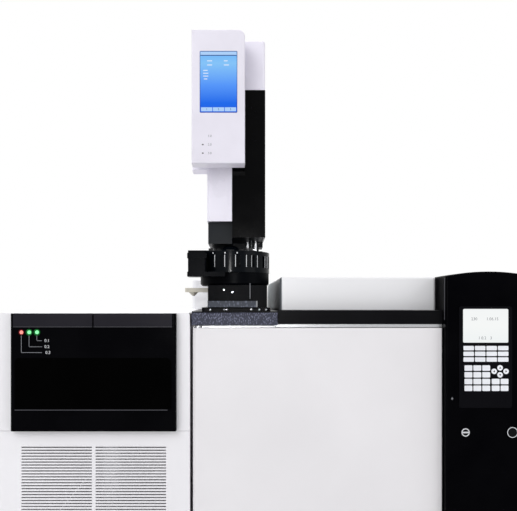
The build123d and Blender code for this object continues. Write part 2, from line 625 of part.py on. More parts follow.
# bezel: a thin moulded frame round the display and the keys
with BuildPart() as keypad_bezel:
    with BuildSketch(front_plane(COL_Y)):
        with Locations((BEZEL_X, (BEZEL_Z0 + BEZEL_Z1) / 2)):
            RectangleRounded(BEZEL_W, BEZEL_Z1 - BEZEL_Z0, 4)
        with Locations((BEZEL_X, LCD_Z)):
            RectangleRounded(LCD_W, LCD_H, 2, mode=Mode.SUBTRACT)
    extrude(amount=BEZEL_T)
    chamfer(keypad_bezel.faces().sort_by(Axis.Y)[0].outer_wire().edges(), length=0.6)
save(keypad_bezel, "keypad_bezel")

with BuildPart() as lcd_panel:
    with BuildSketch(front_plane(COL_Y + LCD_POCKET)):
        with Locations((BEZEL_X, LCD_Z)):
            RectangleRounded(LCD_W, LCD_H, 2)
    extrude(amount=LCD_POCKET + BEZEL_T - LCD_SINK)
save(lcd_panel, "lcd_panel")

# keypad: raised pads of one membrane, in four groups
with BuildPart() as keypad:
    with BuildSketch(front_plane(COL_Y - BEZEL_T)):
        with Locations((BEZEL_X, FUNCTION_Z)):
            with GridLocations(*FUNCTION_PITCH, FUNCTION_COLUMNS, FUNCTION_ROWS):
                RectangleRounded(*FUNCTION_KEY, KEY_R)
        with Locations((NUMBER_X, NUMBER_Z)):
            with GridLocations(*NUMBER_PITCH, NUMBER_COLUMNS, NUMBER_ROWS):
                RectangleRounded(*NUMBER_KEY, KEY_R)
        with Locations((SIDE_KEY_X, SIDE_KEY_Z)):
            with GridLocations(*NUMBER_PITCH, SIDE_KEY_COLUMNS, SIDE_KEY_ROWS):
                RectangleRounded(*NUMBER_KEY, KEY_R)
        across_ring, up_ring = ARROW_RING
        with Locations(
            (ARROW_X - across_ring, ARROW_Z), (ARROW_X + across_ring, ARROW_Z),
            (ARROW_X, ARROW_Z - up_ring), (ARROW_X, ARROW_Z + up_ring),
        ):
            Circle(ARROW_R)
    extrude(amount=KEY_T)
save(keypad, "keypad")


def push_button(x, radius):
    """A round button that slides in its bore in the column housing."""
    with BuildPart() as button:
        across(x, COL_Y - BUTTON_PROUD, COL_Y + BUTTON_DEEP, BUTTON_Z, radius)
        chamfer(button.edges().group_by(Axis.Y)[0], length=0.6)
    return button


save(push_button(START_X, START_R), "start_button")
save(push_button(STOP_X, STOP_R), "stop_button")


# ======================================================== on the deck
COVER_X0 = GC_X0 + 140.5  # detector cover
COVER_X1 = DOOR_X1
COVER_FRONT = DOOR_Y + 30.0
COVER_D = 400.0
COVER_Z0 = DECK_Z + 2.0
COVER_TOP = DECK_Z + 55.0
COVER_T = 2.5
COVER_REAR_R = 42.0
COVER_PIN_R = 3.0
COVER_PIN_UP = 10.0           # hinge axis above the deck
COVER_PIN_BACK = 8.0          # hinge axis behind the cover
COVER_LUG_W = 16.0
COVER_LUG_IN = 40.0           # lugs inwards from the ends of the cover
COVER_BACK = COVER_FRONT + COVER_D
COVER_AXIS_Y = COVER_BACK + COVER_PIN_BACK
COVER_AXIS_Z = DECK_Z + COVER_PIN_UP
COVER_LUGS = (COVER_X0 + COVER_LUG_IN, COVER_X1 - COVER_LUG_IN)
LUG_CLEVIS_T = 4.0

# detector cover: a moulded lid with a round back and two hinge lugs
with BuildPart() as detector_cover:
    with BuildSketch(Plane.YZ.offset(COVER_X0)) as cover_side:
        with BuildLine():
            Polyline(
                (COVER_BACK, COVER_Z0), (COVER_FRONT, COVER_Z0), (COVER_FRONT, COVER_TOP),
                (COVER_BACK, COVER_TOP), close=True,
            )
        make_face()
        fillet(cover_side.vertices().group_by(Axis.Y)[-1].sort_by(Axis.X)[-1], radius=COVER_REAR_R)
    extrude(amount=COVER_X1 - COVER_X0)
    fillet(detector_cover.edges().filter_by(Axis.Z).group_by(Axis.Y)[0], radius=5)
    fillet(detector_cover.faces().sort_by(Axis.Z)[-1].edges().sort_by(Axis.Y)[:-1], radius=3)
    offset(amount=-COVER_T, openings=detector_cover.faces().sort_by(Axis.Z)[0])
    for lug_x in COVER_LUGS:
        block(
            lug_x - COVER_LUG_W / 2, lug_x + COVER_LUG_W / 2, COVER_BACK - 1, COVER_AXIS_Y,
            COVER_AXIS_Z - 4, COVER_AXIS_Z + 4,
        )
        with Locations(Location((lug_x, COVER_AXIS_Y, COVER_AXIS_Z), (0, 90, 0))):
            Cylinder(6, COVER_LUG_W)
            Cylinder(COVER_PIN_R + FIT, COVER_LUG_W, mode=Mode.SUBTRACT)
save(detector_cover, "detector_cover")

# the two clevises and pins that carry the detector cover
with BuildPart() as cover_hinges:
    for lug_x in COVER_LUGS:
        for side in (-1, 1):
            ear_x = lug_x + side * (COVER_LUG_W / 2 + FIT + LUG_CLEVIS_T / 2)
            block(
                ear_x - LUG_CLEVIS_T / 2, ear_x + LUG_CLEVIS_T / 2, COVER_AXIS_Y - 6, COVER_AXIS_Y + 6,
                DECK_Z, COVER_AXIS_Z,
            )
            with Locations(Location((ear_x, COVER_AXIS_Y, COVER_AXIS_Z), (0, 90, 0))):
                Cylinder(6, LUG_CLEVIS_T)
        with Locations(Location((lug_x, COVER_AXIS_Y, COVER_AXIS_Z), (0, 90, 0))):
            Cylinder(COVER_PIN_R, COVER_LUG_W + 2 * FIT + LUG_CLEVIS_T)
save(cover_hinges, "cover_hinges")

# pneumatics cover: a box lid behind the tower that laps over the joint
PNEU_X0 = GC_X0 - 21.5
PNEU_X1 = COVER_X0 - 14.0
PNEU_FRONT = REAR_Y - 240.0
PNEU_TOP = DECK_Z + 62.0
with BuildPart() as pneumatics_cover:
    with BuildSketch(Plane.XY.offset(DECK_Z)):
        with Locations(((PNEU_X0 + PNEU_X1) / 2, (PNEU_FRONT + REAR_Y - 8) / 2)):
            RectangleRounded(PNEU_X1 - PNEU_X0, REAR_Y - 8 - PNEU_FRONT, 8)
    extrude(amount=PNEU_TOP - DECK_Z)
    fillet(pneumatics_cover.edges().group_by(Axis.Z)[-1], radius=4)
save(pneumatics_cover, "pneumatics_cover")

# inlet under the needle: body in the deck, septum nut on top, nut in the oven
INLET_R = 12.0
INLET_TOP = DECK_Z + 32.0
INLET_NUT_H = 12.0
INLET_BORE_R = 1.0
with BuildPart() as inlet:
    upright(NEEDLE_X, NEEDLE_Y, OVEN_Z1 - 4, INLET_TOP - INLET_NUT_H, FITTING_R)
    with BuildSketch(Plane.XY.offset(INLET_TOP - INLET_NUT_H)):
        with Locations((NEEDLE_X, NEEDLE_Y)):
            RegularPolygon(INLET_R - 1, 8)
    extrude(amount=INLET_NUT_H)
    with BuildSketch(Plane.XY.offset(OVEN_Z1 - FITTING_DROP)):
        with Locations((NEEDLE_X, NEEDLE_Y)):
            RegularPolygon(5.5, 6)
    extrude(amount=FITTING_DROP - 4)
    upright(NEEDLE_X, NEEDLE_Y, OVEN_Z1 - FITTING_DROP, INLET_TOP, INLET_BORE_R, mode=Mode.SUBTRACT)
save(inlet, "inlet")

# flame detector: body in the deck, heated block and a collector tower on it
FLAME_TOP = DECK_Z + 44.0
with BuildPart() as flame_detector:
    upright(DETECTOR_X, NEEDLE_Y, OVEN_Z1 - 4, DECK_Z + 4, FITTING_R)
    with BuildSketch(Plane.XY.offset(DECK_Z)):
        with Locations((DETECTOR_X, NEEDLE_Y)):
            RectangleRounded(44, 44, 4)
    extrude(amount=16)
    upright(DETECTOR_X, NEEDLE_Y, DECK_Z + 16, FLAME_TOP, 11)
    with BuildSketch(Plane.XY.offset(DECK_Z + 26)):
        with Locations((DETECTOR_X, NEEDLE_Y)):
            RegularPolygon(15, 6)
    extrude(amount=8)
    with BuildSketch(Plane.XY.offset(OVEN_Z1 - FITTING_DROP)):
        with Locations((DETECTOR_X, NEEDLE_Y)):
            RegularPolygon(5.5, 6)
    extrude(amount=FITTING_DROP - 4)
save(flame_detector, "flame_detector")

# ======================================================== rear fittings
SOCKET_DEEP = 26.0
SOCKET_LIP = 2.0
PIN_POCKET = 14.0


def power_inlet(x, rear_y):
    """A recessed mains inlet with three flat contacts, open to the rear."""
    block(x - SOCKET_W / 2, x + SOCKET_W / 2, rear_y - SOCKET_DEEP, rear_y, SOCKET_Z - SOCKET_H / 2,
          SOCKET_Z + SOCKET_H / 2)
    block(x - SOCKET_W / 2 - 6, x + SOCKET_W / 2 + 6, rear_y, rear_y + SOCKET_LIP,
          SOCKET_Z - SOCKET_H / 2 - 3, SOCKET_Z + SOCKET_H / 2 + 3)
    block(x - SOCKET_W / 2 + 2, x + SOCKET_W / 2 - 2, rear_y + SOCKET_LIP - PIN_POCKET, rear_y + SOCKET_LIP,
          SOCKET_Z - SOCKET_H / 2 + 2, SOCKET_Z + SOCKET_H / 2 - 2, mode=Mode.SUBTRACT)
    for pin_x, pin_z in ((-7, -3), (0, 3), (7, -3)):
        block(x + pin_x - 1, x + pin_x + 1, rear_y + SOCKET_LIP - PIN_POCKET, rear_y - 2,
              SOCKET_Z + pin_z - 2, SOCKET_Z + pin_z + 2)


# rocker switch: a tilted rocker on a pivot, in a frame beside the inlet
ROCKER_TILT = 8.0
ROCKER_PIN_R = 1.5
ROCKER_AXIS_Y = REAR_Y - 4.0
with BuildPart() as power_fittings:
    power_inlet(SOCKET_X, REAR_Y)
    power_inlet(DET_SOCKET_X, REAR_Y)
    block(SWITCH_X - SWITCH_W / 2 - 3, SWITCH_X + SWITCH_W / 2 + 3, REAR_Y, REAR_Y + SOCKET_LIP,
          SOCKET_Z - SWITCH_H / 2 - 3, SOCKET_Z + SWITCH_H / 2 + 3)
    block(SWITCH_X - SWITCH_W / 2, SWITCH_X + SWITCH_W / 2, REAR_Y - 22, REAR_Y,
          SOCKET_Z - SWITCH_H / 2, SOCKET_Z + SWITCH_H / 2)
    block(SWITCH_X - SWITCH_W / 2 + 2, SWITCH_X + SWITCH_W / 2 - 2, REAR_Y - 16, REAR_Y + SOCKET_LIP,
          SOCKET_Z - SWITCH_H / 2 + 1.5, SOCKET_Z + SWITCH_H / 2 - 1.5, mode=Mode.SUBTRACT)
    crosswise(SWITCH_X - SWITCH_W / 2 + 0.5, SWITCH_X + SWITCH_W / 2 - 0.5, ROCKER_AXIS_Y, SOCKET_Z,
              ROCKER_PIN_R + FIT / 4, mode=Mode.SUBTRACT)
save(power_fittings, "power_fittings")

with BuildPart() as power_switch:
    rocker_side = Plane(
        origin=(SWITCH_X - SWITCH_W / 2 + 2 + FIT, ROCKER_AXIS_Y, SOCKET_Z),
        x_dir=(0, math.cos(math.radians(ROCKER_TILT)), -math.sin(math.radians(ROCKER_TILT))), z_dir=(1, 0, 0),
    )
    with BuildSketch(rocker_side):
        with BuildLine():
            Polyline((-3, -8), (5, -11), (6.4, 0), (5, 11), (-3, 8), (-5, 0), close=True)
        make_face()
    extrude(amount=SWITCH_W - 4 - 2 * FIT)
    crosswise(SWITCH_X - SWITCH_W / 2 + 0.5 + FIT, SWITCH_X + SWITCH_W / 2 - 0.5 - FIT, ROCKER_AXIS_Y, SOCKET_Z, ROCKER_PIN_R)
save(power_switch, "power_switch")

# bulkhead fittings for the supply gases
with BuildPart() as gas_fittings:
    for index in range(GAS_COUNT):
        fitting_x = GAS_X + index * GAS_PITCH
        across(fitting_x, REAR_Y - 20, REAR_Y, GAS_Z, GAS_HOLE_R - GAS_CLEAR)
        with BuildSketch(front_plane(REAR_Y + 5)):
            with Locations((fitting_x, GAS_Z)):
                RegularPolygon(8, 6)
        extrude(amount=5)
        across(fitting_x, REAR_Y + 5, REAR_Y + REAR_PROUD, GAS_Z, 4.8)
        across(
            fitting_x, REAR_Y + REAR_PROUD - GAS_BORE_L, REAR_Y + REAR_PROUD, GAS_Z, GAS_BORE_R,
            mode=Mode.SUBTRACT,
        )
save(gas_fittings, "gas_fittings")

# rubber feet under the corners of both cabinets
FOOT_IN = 40.0
with BuildPart() as feet:
    for left, right in ((DET_X0, DET_X1), (GC_X0, GC_X1)):
        for foot_x in (left + FOOT_IN, right - FOOT_IN):
            for foot_y in (DOOR_Y + FOOT_IN + 10, REAR_Y - FOOT_IN):
                with Locations((foot_x, foot_y, FOOT_H / 2)):
                    Cone(FOOT_R - 2, FOOT_R, FOOT_H)
save(feet, "feet")


# ======================================================== left cabinet
SEAM_Z = DETECTOR_H - 184.5  # joint between the grille panel and the upper front
DET_BOTTOM = FOOT_H + 4.0
DET_BEZEL_W = 256.5
DET_BEZEL_MID = (DET_X0 + DET_X1) / 2 + 1.3
DET_BEZEL_PROUD = 12.0
DET_BEZEL_DEEP = 10.0         # bezel behind the cabinet face
DET_BEZEL_Z0 = DETECTOR_H - 182.9
DET_BEZEL_Z1 = DETECTOR_H - 0.6
DET_BEZEL_R = 4.0
BAND_Z = DETECTOR_H - 21.4  # lower edge of the raised band on the bezel
BAND_PROUD = 1.0
BAND_SEAM_X = DET_BEZEL_MID - 0.4
WINDOW_W = 242.6
WINDOW_Z0 = DETECTOR_H - 148.2
WINDOW_Z1 = DETECTOR_H - 69.3
WINDOW_R = 8.0
WINDOW_T = 2.0
LAMP_R = 3.0
LAMP_X = DET_X0 + 40.9
LAMP_PITCH = 12.0
LAMP_COUNT = 3
LAMP_Z = DETECTOR_H - 29.6
LAMP_PROUD = 0.8
LAMP_DEEP = 5.0
GRILLE_T = 2.5
SLOT_L = 110.5
SLOT_T = 2.0
SLOT_PITCH = 4.63
SLOT_ROWS = 36
SLOT_COLUMNS = 2
SLOT_COLUMN_PITCH = 116.2
GRILLE_MID_X = DET_X0 + 149.5
GRILLE_TOP_Z = DETECTOR_H - 210.4
BEZEL_HOLE_IN = 3.0           # bezel laps over the edge of its cut-out
COVER_R = 4.0

# cover: one folded sheet over the top and both sides, with front flanges
with BuildPart() as cabinet_cover:
    block(DET_X0, DET_X1, DOOR_Y, REAR_Y - SHEET, DET_BOTTOM, DETECTOR_H)
    fillet(cabinet_cover.edges().filter_by(Axis.Y).group_by(Axis.Z)[-1], radius=COVER_R)
    block(
        DET_X0 + SHEET, DET_X1 - SHEET, DOOR_Y + SHEET, REAR_Y - SHEET,
        DET_BOTTOM, DETECTOR_H - SHEET, mode=Mode.SUBTRACT,
    )
    block(
        DET_BEZEL_MID - DET_BEZEL_W / 2 + BEZEL_HOLE_IN, DET_BEZEL_MID + DET_BEZEL_W / 2 - BEZEL_HOLE_IN,
        DOOR_Y, DOOR_Y + SHEET, SEAM_Z, DET_BEZEL_Z1 - BEZEL_HOLE_IN, mode=Mode.SUBTRACT,
    )
    block(DET_X0, DET_X1, DOOR_Y, DOOR_Y + GRILLE_T, DET_BOTTOM, SEAM_Z, mode=Mode.SUBTRACT)
    crosswise(
        DET_X1 - SHEET, DET_X1, TRANSFER_Y, TRANSFER_Z, TRANSFER_R + TRANSFER_CLEAR,
        mode=Mode.SUBTRACT,
    )
save(cabinet_cover, "cabinet_cover")

# chassis: a base plate folded up into the rear panel
CHASSIS_VENT_ROWS = 8
CHASSIS_VENT_Z = DETECTOR_H - 115.5
with BuildPart() as cabinet_chassis:
    block(DET_X0 + SHEET, DET_X1 - SHEET, DOOR_Y + GRILLE_T, REAR_Y - SHEET, FOOT_H, FOOT_H + 3)
    block(DET_X0, DET_X1, REAR_Y - SHEET, REAR_Y, FOOT_H, DETECTOR_H)
    block(
        DET_SOCKET_X - SOCKET_W / 2, DET_SOCKET_X + SOCKET_W / 2, REAR_Y - SHEET, REAR_Y,
        SOCKET_Z - SOCKET_H / 2, SOCKET_Z + SOCKET_H / 2, mode=Mode.SUBTRACT,
    )
    with BuildSketch(Plane.XZ.offset(-(REAR_Y - SHEET))):
        with Locations(((DET_X0 + DET_X1) / 2, CHASSIS_VENT_Z)):
            with GridLocations(90, 9, 2, CHASSIS_VENT_ROWS):
                Rectangle(78, 3)
    extrude(amount=-SHEET, mode=Mode.SUBTRACT)
save(cabinet_chassis, "cabinet_chassis")

# grille panel: the lower front, two stiles, a middle post and two rails round
# two tall mouths that level bars close, so each gap between bars is a real slot
SLOT_FIELD_H = (SLOT_ROWS - 1) * SLOT_PITCH + SLOT_T
SLOT_FIELD_Z = GRILLE_TOP_Z - (SLOT_ROWS - 1) * SLOT_PITCH / 2
mouth_x = [
    GRILLE_MID_X + (column - (SLOT_COLUMNS - 1) / 2) * SLOT_COLUMN_PITCH + end * SLOT_L / 2
    for column in range(SLOT_COLUMNS) for end in (-1, 1)
]
mouth_z0 = SLOT_FIELD_Z - SLOT_FIELD_H / 2
mouth_z1 = SLOT_FIELD_Z + SLOT_FIELD_H / 2
rails = [(DET_X0, DET_X1, DET_BOTTOM, mouth_z0), (DET_X0, DET_X1, mouth_z1, SEAM_Z - PANEL_GAP)]
posts_x = [DET_X0, *mouth_x, DET_X1]
rails += [(posts_x[i], posts_x[i + 1], mouth_z0, mouth_z1) for i in range(0, len(posts_x), 2)]
grille_solids = []
for x0, x1, z0, z1 in rails:
    with BuildPart() as grille_rail:
        block(x0, x1, DOOR_Y, DOOR_Y + GRILLE_T, z0, z1)
    grille_solids += grille_rail.part.solids()
with BuildPart() as grille_bars:
    with BuildSketch(front_plane(DOOR_Y + GRILLE_T)):
        with Locations((GRILLE_MID_X, SLOT_FIELD_Z)):
            with GridLocations(SLOT_COLUMN_PITCH, SLOT_PITCH, SLOT_COLUMNS, SLOT_ROWS - 1):
                Rectangle(SLOT_L, SLOT_PITCH - SLOT_T)
    extrude(amount=GRILLE_T)
grille = Compound(children=[*grille_solids, *grille_bars.part.solids()])
grille.label = "grille_panel"
export_step(grille, "parts/grille_panel.step")

# bezel: the black upper front, with a raised band, a window pocket and lamps
BEZEL_FRONT = DOOR_Y - DET_BEZEL_PROUD
with BuildPart() as cabinet_bezel:
    with BuildSketch(Plane.XY.offset(DET_BEZEL_Z0)) as bezel_section:
        with Locations((DET_BEZEL_MID, DOOR_Y - DET_BEZEL_PROUD / 2)):
            Rectangle(DET_BEZEL_W, DET_BEZEL_PROUD)
        fillet(bezel_section.vertices().group_by(Axis.Y)[0], radius=DET_BEZEL_R)
    extrude(amount=DET_BEZEL_Z1 - DET_BEZEL_Z0)
    block(
        DET_BEZEL_MID - DET_BEZEL_W / 2 + BEZEL_HOLE_IN + FIT,
        DET_BEZEL_MID + DET_BEZEL_W / 2 - BEZEL_HOLE_IN - FIT,
        DOOR_Y, DOOR_Y + DET_BEZEL_DEEP, DET_BEZEL_Z0 + BEZEL_HOLE_IN, DET_BEZEL_Z1 - BEZEL_HOLE_IN - FIT,
    )
    for side in (-1, 1):
        half = DET_BEZEL_W / 2 - DET_BEZEL_R
        band_x = sorted((BAND_SEAM_X + side * PANEL_GAP, DET_BEZEL_MID + side * half))
        block(*band_x, BEZEL_FRONT - BAND_PROUD, BEZEL_FRONT, BAND_Z, DET_BEZEL_Z1 - 1)
    with BuildSketch(front_plane(BEZEL_FRONT)):
        with BuildLine():
            half = WINDOW_W / 2
            FilletPolyline(
                (DET_BEZEL_MID - half, WINDOW_Z0), (DET_BEZEL_MID - half, WINDOW_Z1),
                (DET_BEZEL_MID + half, WINDOW_Z1), (DET_BEZEL_MID + half, WINDOW_Z0), radius=WINDOW_R,
            )
            Line((DET_BEZEL_MID + half, WINDOW_Z0), (DET_BEZEL_MID - half, WINDOW_Z0))
        make_face()
    extrude(amount=-WINDOW_T, mode=Mode.SUBTRACT)
    for index in range(LAMP_COUNT):
        across(
            LAMP_X + index * LAMP_PITCH, BEZEL_FRONT, BEZEL_FRONT + LAMP_DEEP, LAMP_Z, LAMP_R,
            mode=Mode.SUBTRACT,
        )
save(cabinet_bezel, "cabinet_bezel")

with BuildPart() as cabinet_window:
    with BuildSketch(front_plane(BEZEL_FRONT + WINDOW_T)):
        with BuildLine():
            half = WINDOW_W / 2
            FilletPolyline(
                (DET_BEZEL_MID - half, WINDOW_Z0), (DET_BEZEL_MID - half, WINDOW_Z1),
                (DET_BEZEL_MID + half, WINDOW_Z1), (DET_BEZEL_MID + half, WINDOW_Z0), radius=WINDOW_R,
            )
            Line((DET_BEZEL_MID + half, WINDOW_Z0), (DET_BEZEL_MID - half, WINDOW_Z0))
        make_face()
    extrude(amount=WINDOW_T)
save(cabinet_window, "cabinet_window")

with BuildPart() as status_lamps:
    for index in range(LAMP_COUNT):
        across(
            LAMP_X + index * LAMP_PITCH, BEZEL_FRONT - LAMP_PROUD, BEZEL_FRONT + LAMP_DEEP, LAMP_Z, LAMP_R,
        )
    chamfer(status_lamps.edges().group_by(Axis.Y)[0], length=0.5)
save(status_lamps, "status_lamps")

# analyser: a vacuum manifold on its turbo pump, which stands on the chassis
PUMP_R = 48.0
PUMP_FLANGE_R = 62.0
MANIFOLD = (120.0, 250.0, 120.0)
MANIFOLD_Z0 = 240.0
MANIFOLD_X = DET_X0 + 140.0
PUMP_Y = TRANSFER_Y + 60.0
with BuildPart() as analyser:
    upright(MANIFOLD_X, PUMP_Y, FOOT_H + 3, MANIFOLD_Z0, PUMP_R)
    for flange_z in (FOOT_H + 3, MANIFOLD_Z0 - 40, MANIFOLD_Z0 - 12):
        upright(MANIFOLD_X, PUMP_Y, flange_z, flange_z + 12, PUMP_FLANGE_R)
    with Locations((MANIFOLD_X, PUMP_Y, MANIFOLD_Z0 + MANIFOLD[2] / 2)):
        Box(*MANIFOLD)
    block(
        MANIFOLD_X - MANIFOLD[0] / 2 - 8, MANIFOLD_X - MANIFOLD[0] / 2,
        PUMP_Y - MANIFOLD[1] / 2 - 4, PUMP_Y + MANIFOLD[1] / 2 + 4, MANIFOLD_Z0 - 6 + 2, MANIFOLD_Z0 + MANIFOLD[2] + 4,
    )
save(analyser, "analyser")

# transfer line: a heated tube from the manifold through both walls into the oven
TRANSFER_TIP = 18.0
with BuildPart() as transfer_line:
    crosswise(MANIFOLD_X + MANIFOLD[0] / 2, OVEN_X0 + 2, TRANSFER_Y, TRANSFER_Z, TRANSFER_R)
    crosswise(MANIFOLD_X + MANIFOLD[0] / 2, MANIFOLD_X + MANIFOLD[0] / 2 + 8, TRANSFER_Y, TRANSFER_Z, 24)
    crosswise(OVEN_X0 + 2, OVEN_X0 + TRANSFER_TIP, TRANSFER_Y, TRANSFER_Z, 4)
save(transfer_line, "transfer_line")


# ======================================================== injector tower
APRON_PROUD = 3.0
APRON_Z0 = DECK_Z - 21.4
APRON_Z1 = DECK_Z - 2.0
PLATE_T = 6.0
PLATE_X0 = TURRET_X - 45.5
PLATE_X1 = TURRET_X + 64.5
PLATE_FRONT = DOOR_Y + 14.0
PLATE_BACK = DOOR_Y + 222.0
PEDESTAL_X0 = TURRET_X - 35.5
PEDESTAL_X1 = TURRET_X + 58.9
PEDESTAL_FRONT = DOOR_Y + 16.0
PEDESTAL_BACK = DOOR_Y + 205.0
PEDESTAL_Z0 = DECK_Z + PLATE_T
PEDESTAL_BAR_H = 11.0
PEDESTAL_BAR_END = TURRET_X + 42.9
PEDESTAL_TOP = DECK_Z + 41.5
DRUM_R = 57.0
DRUM_BEVEL = 3.0
DRUM_X = TURRET_X + 7.0
DRUM_Y = TURRET_Y - 4.0
SPINDLE_R = 8.0
SPINDLE_UP = 6.0
ARM_X0 = TURRET_X - 66.5  # arm that carries the side box
ARM_X1 = TURRET_X - 7.5
ARM_Y0 = DOOR_Y - 8.0
ARM_Y1 = DOOR_Y + 30.0
ARM_H = 7.2
SIDE_BOX_X1 = TURRET_X - 37.5
SIDE_BOX_Y1 = DOOR_Y + 14.0
SIDE_BOX_TOP = DECK_Z + 95.0
LEVER_Y = DOOR_Y + 60.0
LEVER_PIVOT_X = TURRET_X - 26.5
LEVER_TIP_X = TURRET_X - 75.5
LEVER_Z0 = DECK_Z + 31.0
LEVER_T = 7.0
LEVER_W = 10.0
LEVER_HUB_R = 7.0
LEVER_PIN_R = 3.0

# apron: the textured strip on the deck's front edge under the tower
with BuildPart() as sampler_apron:
    block(GC_X0, TRIM_X0 - 1, DOOR_Y - APRON_PROUD, DOOR_Y + 4, APRON_Z0, APRON_Z1)
    fillet(sampler_apron.edges().group_by(Axis.Y)[0], radius=1.5)
save(sampler_apron, "sampler_apron")

# mounting plate with screw heads and a clearance hole over the inlet
with BuildPart() as sampler_plate:
    with BuildSketch(Plane.XY.offset(DECK_Z)):
        with Locations(((PLATE_X0 + PLATE_X1) / 2, (PLATE_FRONT + PLATE_BACK) / 2)):
            RectangleRounded(PLATE_X1 - PLATE_X0, PLATE_BACK - PLATE_FRONT, 5)
        with Locations((NEEDLE_X, NEEDLE_Y)):
            Circle(PORT_R, mode=Mode.SUBTRACT)
    extrude(amount=PLATE_T)
save(sampler_plate, "sampler_plate")

# pedestal: base bar, block and drum, with a slot for the clamp lever
with BuildPart() as sampler_pedestal:
    block(PEDESTAL_X0, PEDESTAL_BAR_END, PEDESTAL_FRONT - 4, PEDESTAL_BACK, PEDESTAL_Z0,
          PEDESTAL_Z0 + PEDESTAL_BAR_H)
    block(PEDESTAL_BAR_END, PEDESTAL_X1, PEDESTAL_FRONT, PEDESTAL_BACK, PEDESTAL_Z0,
          PEDESTAL_Z0 + PEDESTAL_BAR_H)
    block(PEDESTAL_X0, PEDESTAL_X1, PEDESTAL_FRONT, PEDESTAL_BACK, PEDESTAL_Z0 + PEDESTAL_BAR_H,
          PEDESTAL_TOP)
    with Locations((DRUM_X, DRUM_Y, PEDESTAL_TOP + DRUM_BEVEL / 2)):
        Cone(DRUM_R - DRUM_BEVEL, DRUM_R, DRUM_BEVEL)
    upright(DRUM_X, DRUM_Y, PEDESTAL_TOP + DRUM_BEVEL, TURRET_Z0 - FIT, DRUM_R)
    block(ARM_X0, ARM_X1, ARM_Y0, ARM_Y1, TURRET_Z0 - FIT - ARM_H, TURRET_Z0 - FIT)
    upright(TURRET_X, TURRET_Y, TURRET_Z0 - FIT, TURRET_Z0 + SPINDLE_UP, SPINDLE_R)
    upright(NEEDLE_X, NEEDLE_Y, PEDESTAL_Z0, PEDESTAL_TOP - 4, PORT_R, mode=Mode.SUBTRACT)
    upright(NEEDLE_X, NEEDLE_Y, PEDESTAL_TOP - 4, TURRET_Z0, 4, mode=Mode.SUBTRACT)
    block(
        PEDESTAL_X0, LEVER_PIVOT_X + LEVER_HUB_R + 2, LEVER_Y - 12, LEVER_Y + 26,
        LEVER_Z0 - FIT, LEVER_Z0 + LEVER_T + FIT, mode=Mode.SUBTRACT,
    )
    upright(LEVER_PIVOT_X, LEVER_Y, LEVER_Z0 - FIT, LEVER_Z0 + LEVER_T + FIT, LEVER_PIN_R)
save(sampler_pedestal, "sampler_pedestal")

# clamp lever: a hub on its pin, a flat grip and a cone under the tip
with BuildPart() as clamp_lever:
    with BuildSketch(Plane.XY.offset(LEVER_Z0)):
        with Locations((LEVER_PIVOT_X, LEVER_Y)):
            Circle(LEVER_HUB_R)
        with Locations(((LEVER_TIP_X + LEVER_PIVOT_X) / 2, LEVER_Y)):
            RectangleRounded(LEVER_PIVOT_X - LEVER_TIP_X, LEVER_W, 4)
        with Locations((LEVER_PIVOT_X, LEVER_Y)):
            Circle(LEVER_PIN_R + FIT, mode=Mode.SUBTRACT)
    extrude(amount=LEVER_T)
    with Locations((LEVER_TIP_X + 14, LEVER_Y, LEVER_Z0 - 3)):
        Cone(2, 8, 6)
save(clamp_lever, "clamp_lever")

# turret: a plain ring, a fluted rim, a domed hub and bored vial pockets
VIAL_Z0 = TURRET_Z0 + 5.0
BOTTLE_Z0 = TURRET_Z0 + 5.0
BOTTLE_ANGLES = (6.0, 57.0, 170.0)
FLUTE_R = 3.5
DOME_R = 20.0
with BuildPart() as turret:
    upright(TURRET_X, TURRET_Y, TURRET_Z0, TURRET_TOP, TURRET_R)
    with BuildSketch(Plane.XY.offset(TURRET_Z0 + TURRET_RING_H)):
        with Locations((TURRET_X, TURRET_Y)):
            with PolarLocations(TURRET_R + 0.5, VIAL_COUNT, start_angle=NEEDLE_ANGLE + 180 / VIAL_COUNT):
                Rectangle(8, 2 * FLUTE_R)
    extrude(amount=TURRET_FLUTE_H, mode=Mode.SUBTRACT)
    with BuildSketch(Plane.XZ.offset(-TURRET_Y)):
        with BuildLine():
            Line((TURRET_X, TURRET_TOP), (TURRET_X, TURRET_DOME_Z))
            ThreePointArc(
                (TURRET_X, TURRET_DOME_Z), (TURRET_X + 0.66 * DOME_R, TURRET_DOME_Z - 5),
                (TURRET_X + DOME_R, TURRET_TOP),
            )
            Line((TURRET_X + DOME_R, TURRET_TOP), (TURRET_X, TURRET_TOP))
        make_face()
    revolve(axis=Axis((TURRET_X, TURRET_Y, 0), (0, 0, 1)), revolution_arc=360)
    with Locations((TURRET_X, TURRET_Y, (VIAL_Z0 + TURRET_TOP) / 2)):
        with PolarLocations(VIAL_PITCH_R, VIAL_COUNT, start_angle=NEEDLE_ANGLE):
            Cylinder(VIAL_R + FIT, TURRET_TOP - VIAL_Z0, mode=Mode.SUBTRACT)
    for angle in BOTTLE_ANGLES:
        bottle_x = TURRET_X + BOTTLE_PITCH_R * math.cos(math.radians(angle))
        bottle_y = TURRET_Y + BOTTLE_PITCH_R * math.sin(math.radians(angle))
        upright(bottle_x, bottle_y, BOTTLE_Z0, TURRET_DOME_Z, BOTTLE_R + FIT, mode=Mode.SUBTRACT)
    upright(TURRET_X, TURRET_Y, TURRET_Z0, TURRET_Z0 + SPINDLE_UP + FIT, SPINDLE_R + FIT, mode=Mode.SUBTRACT)
save(turret, "turret")

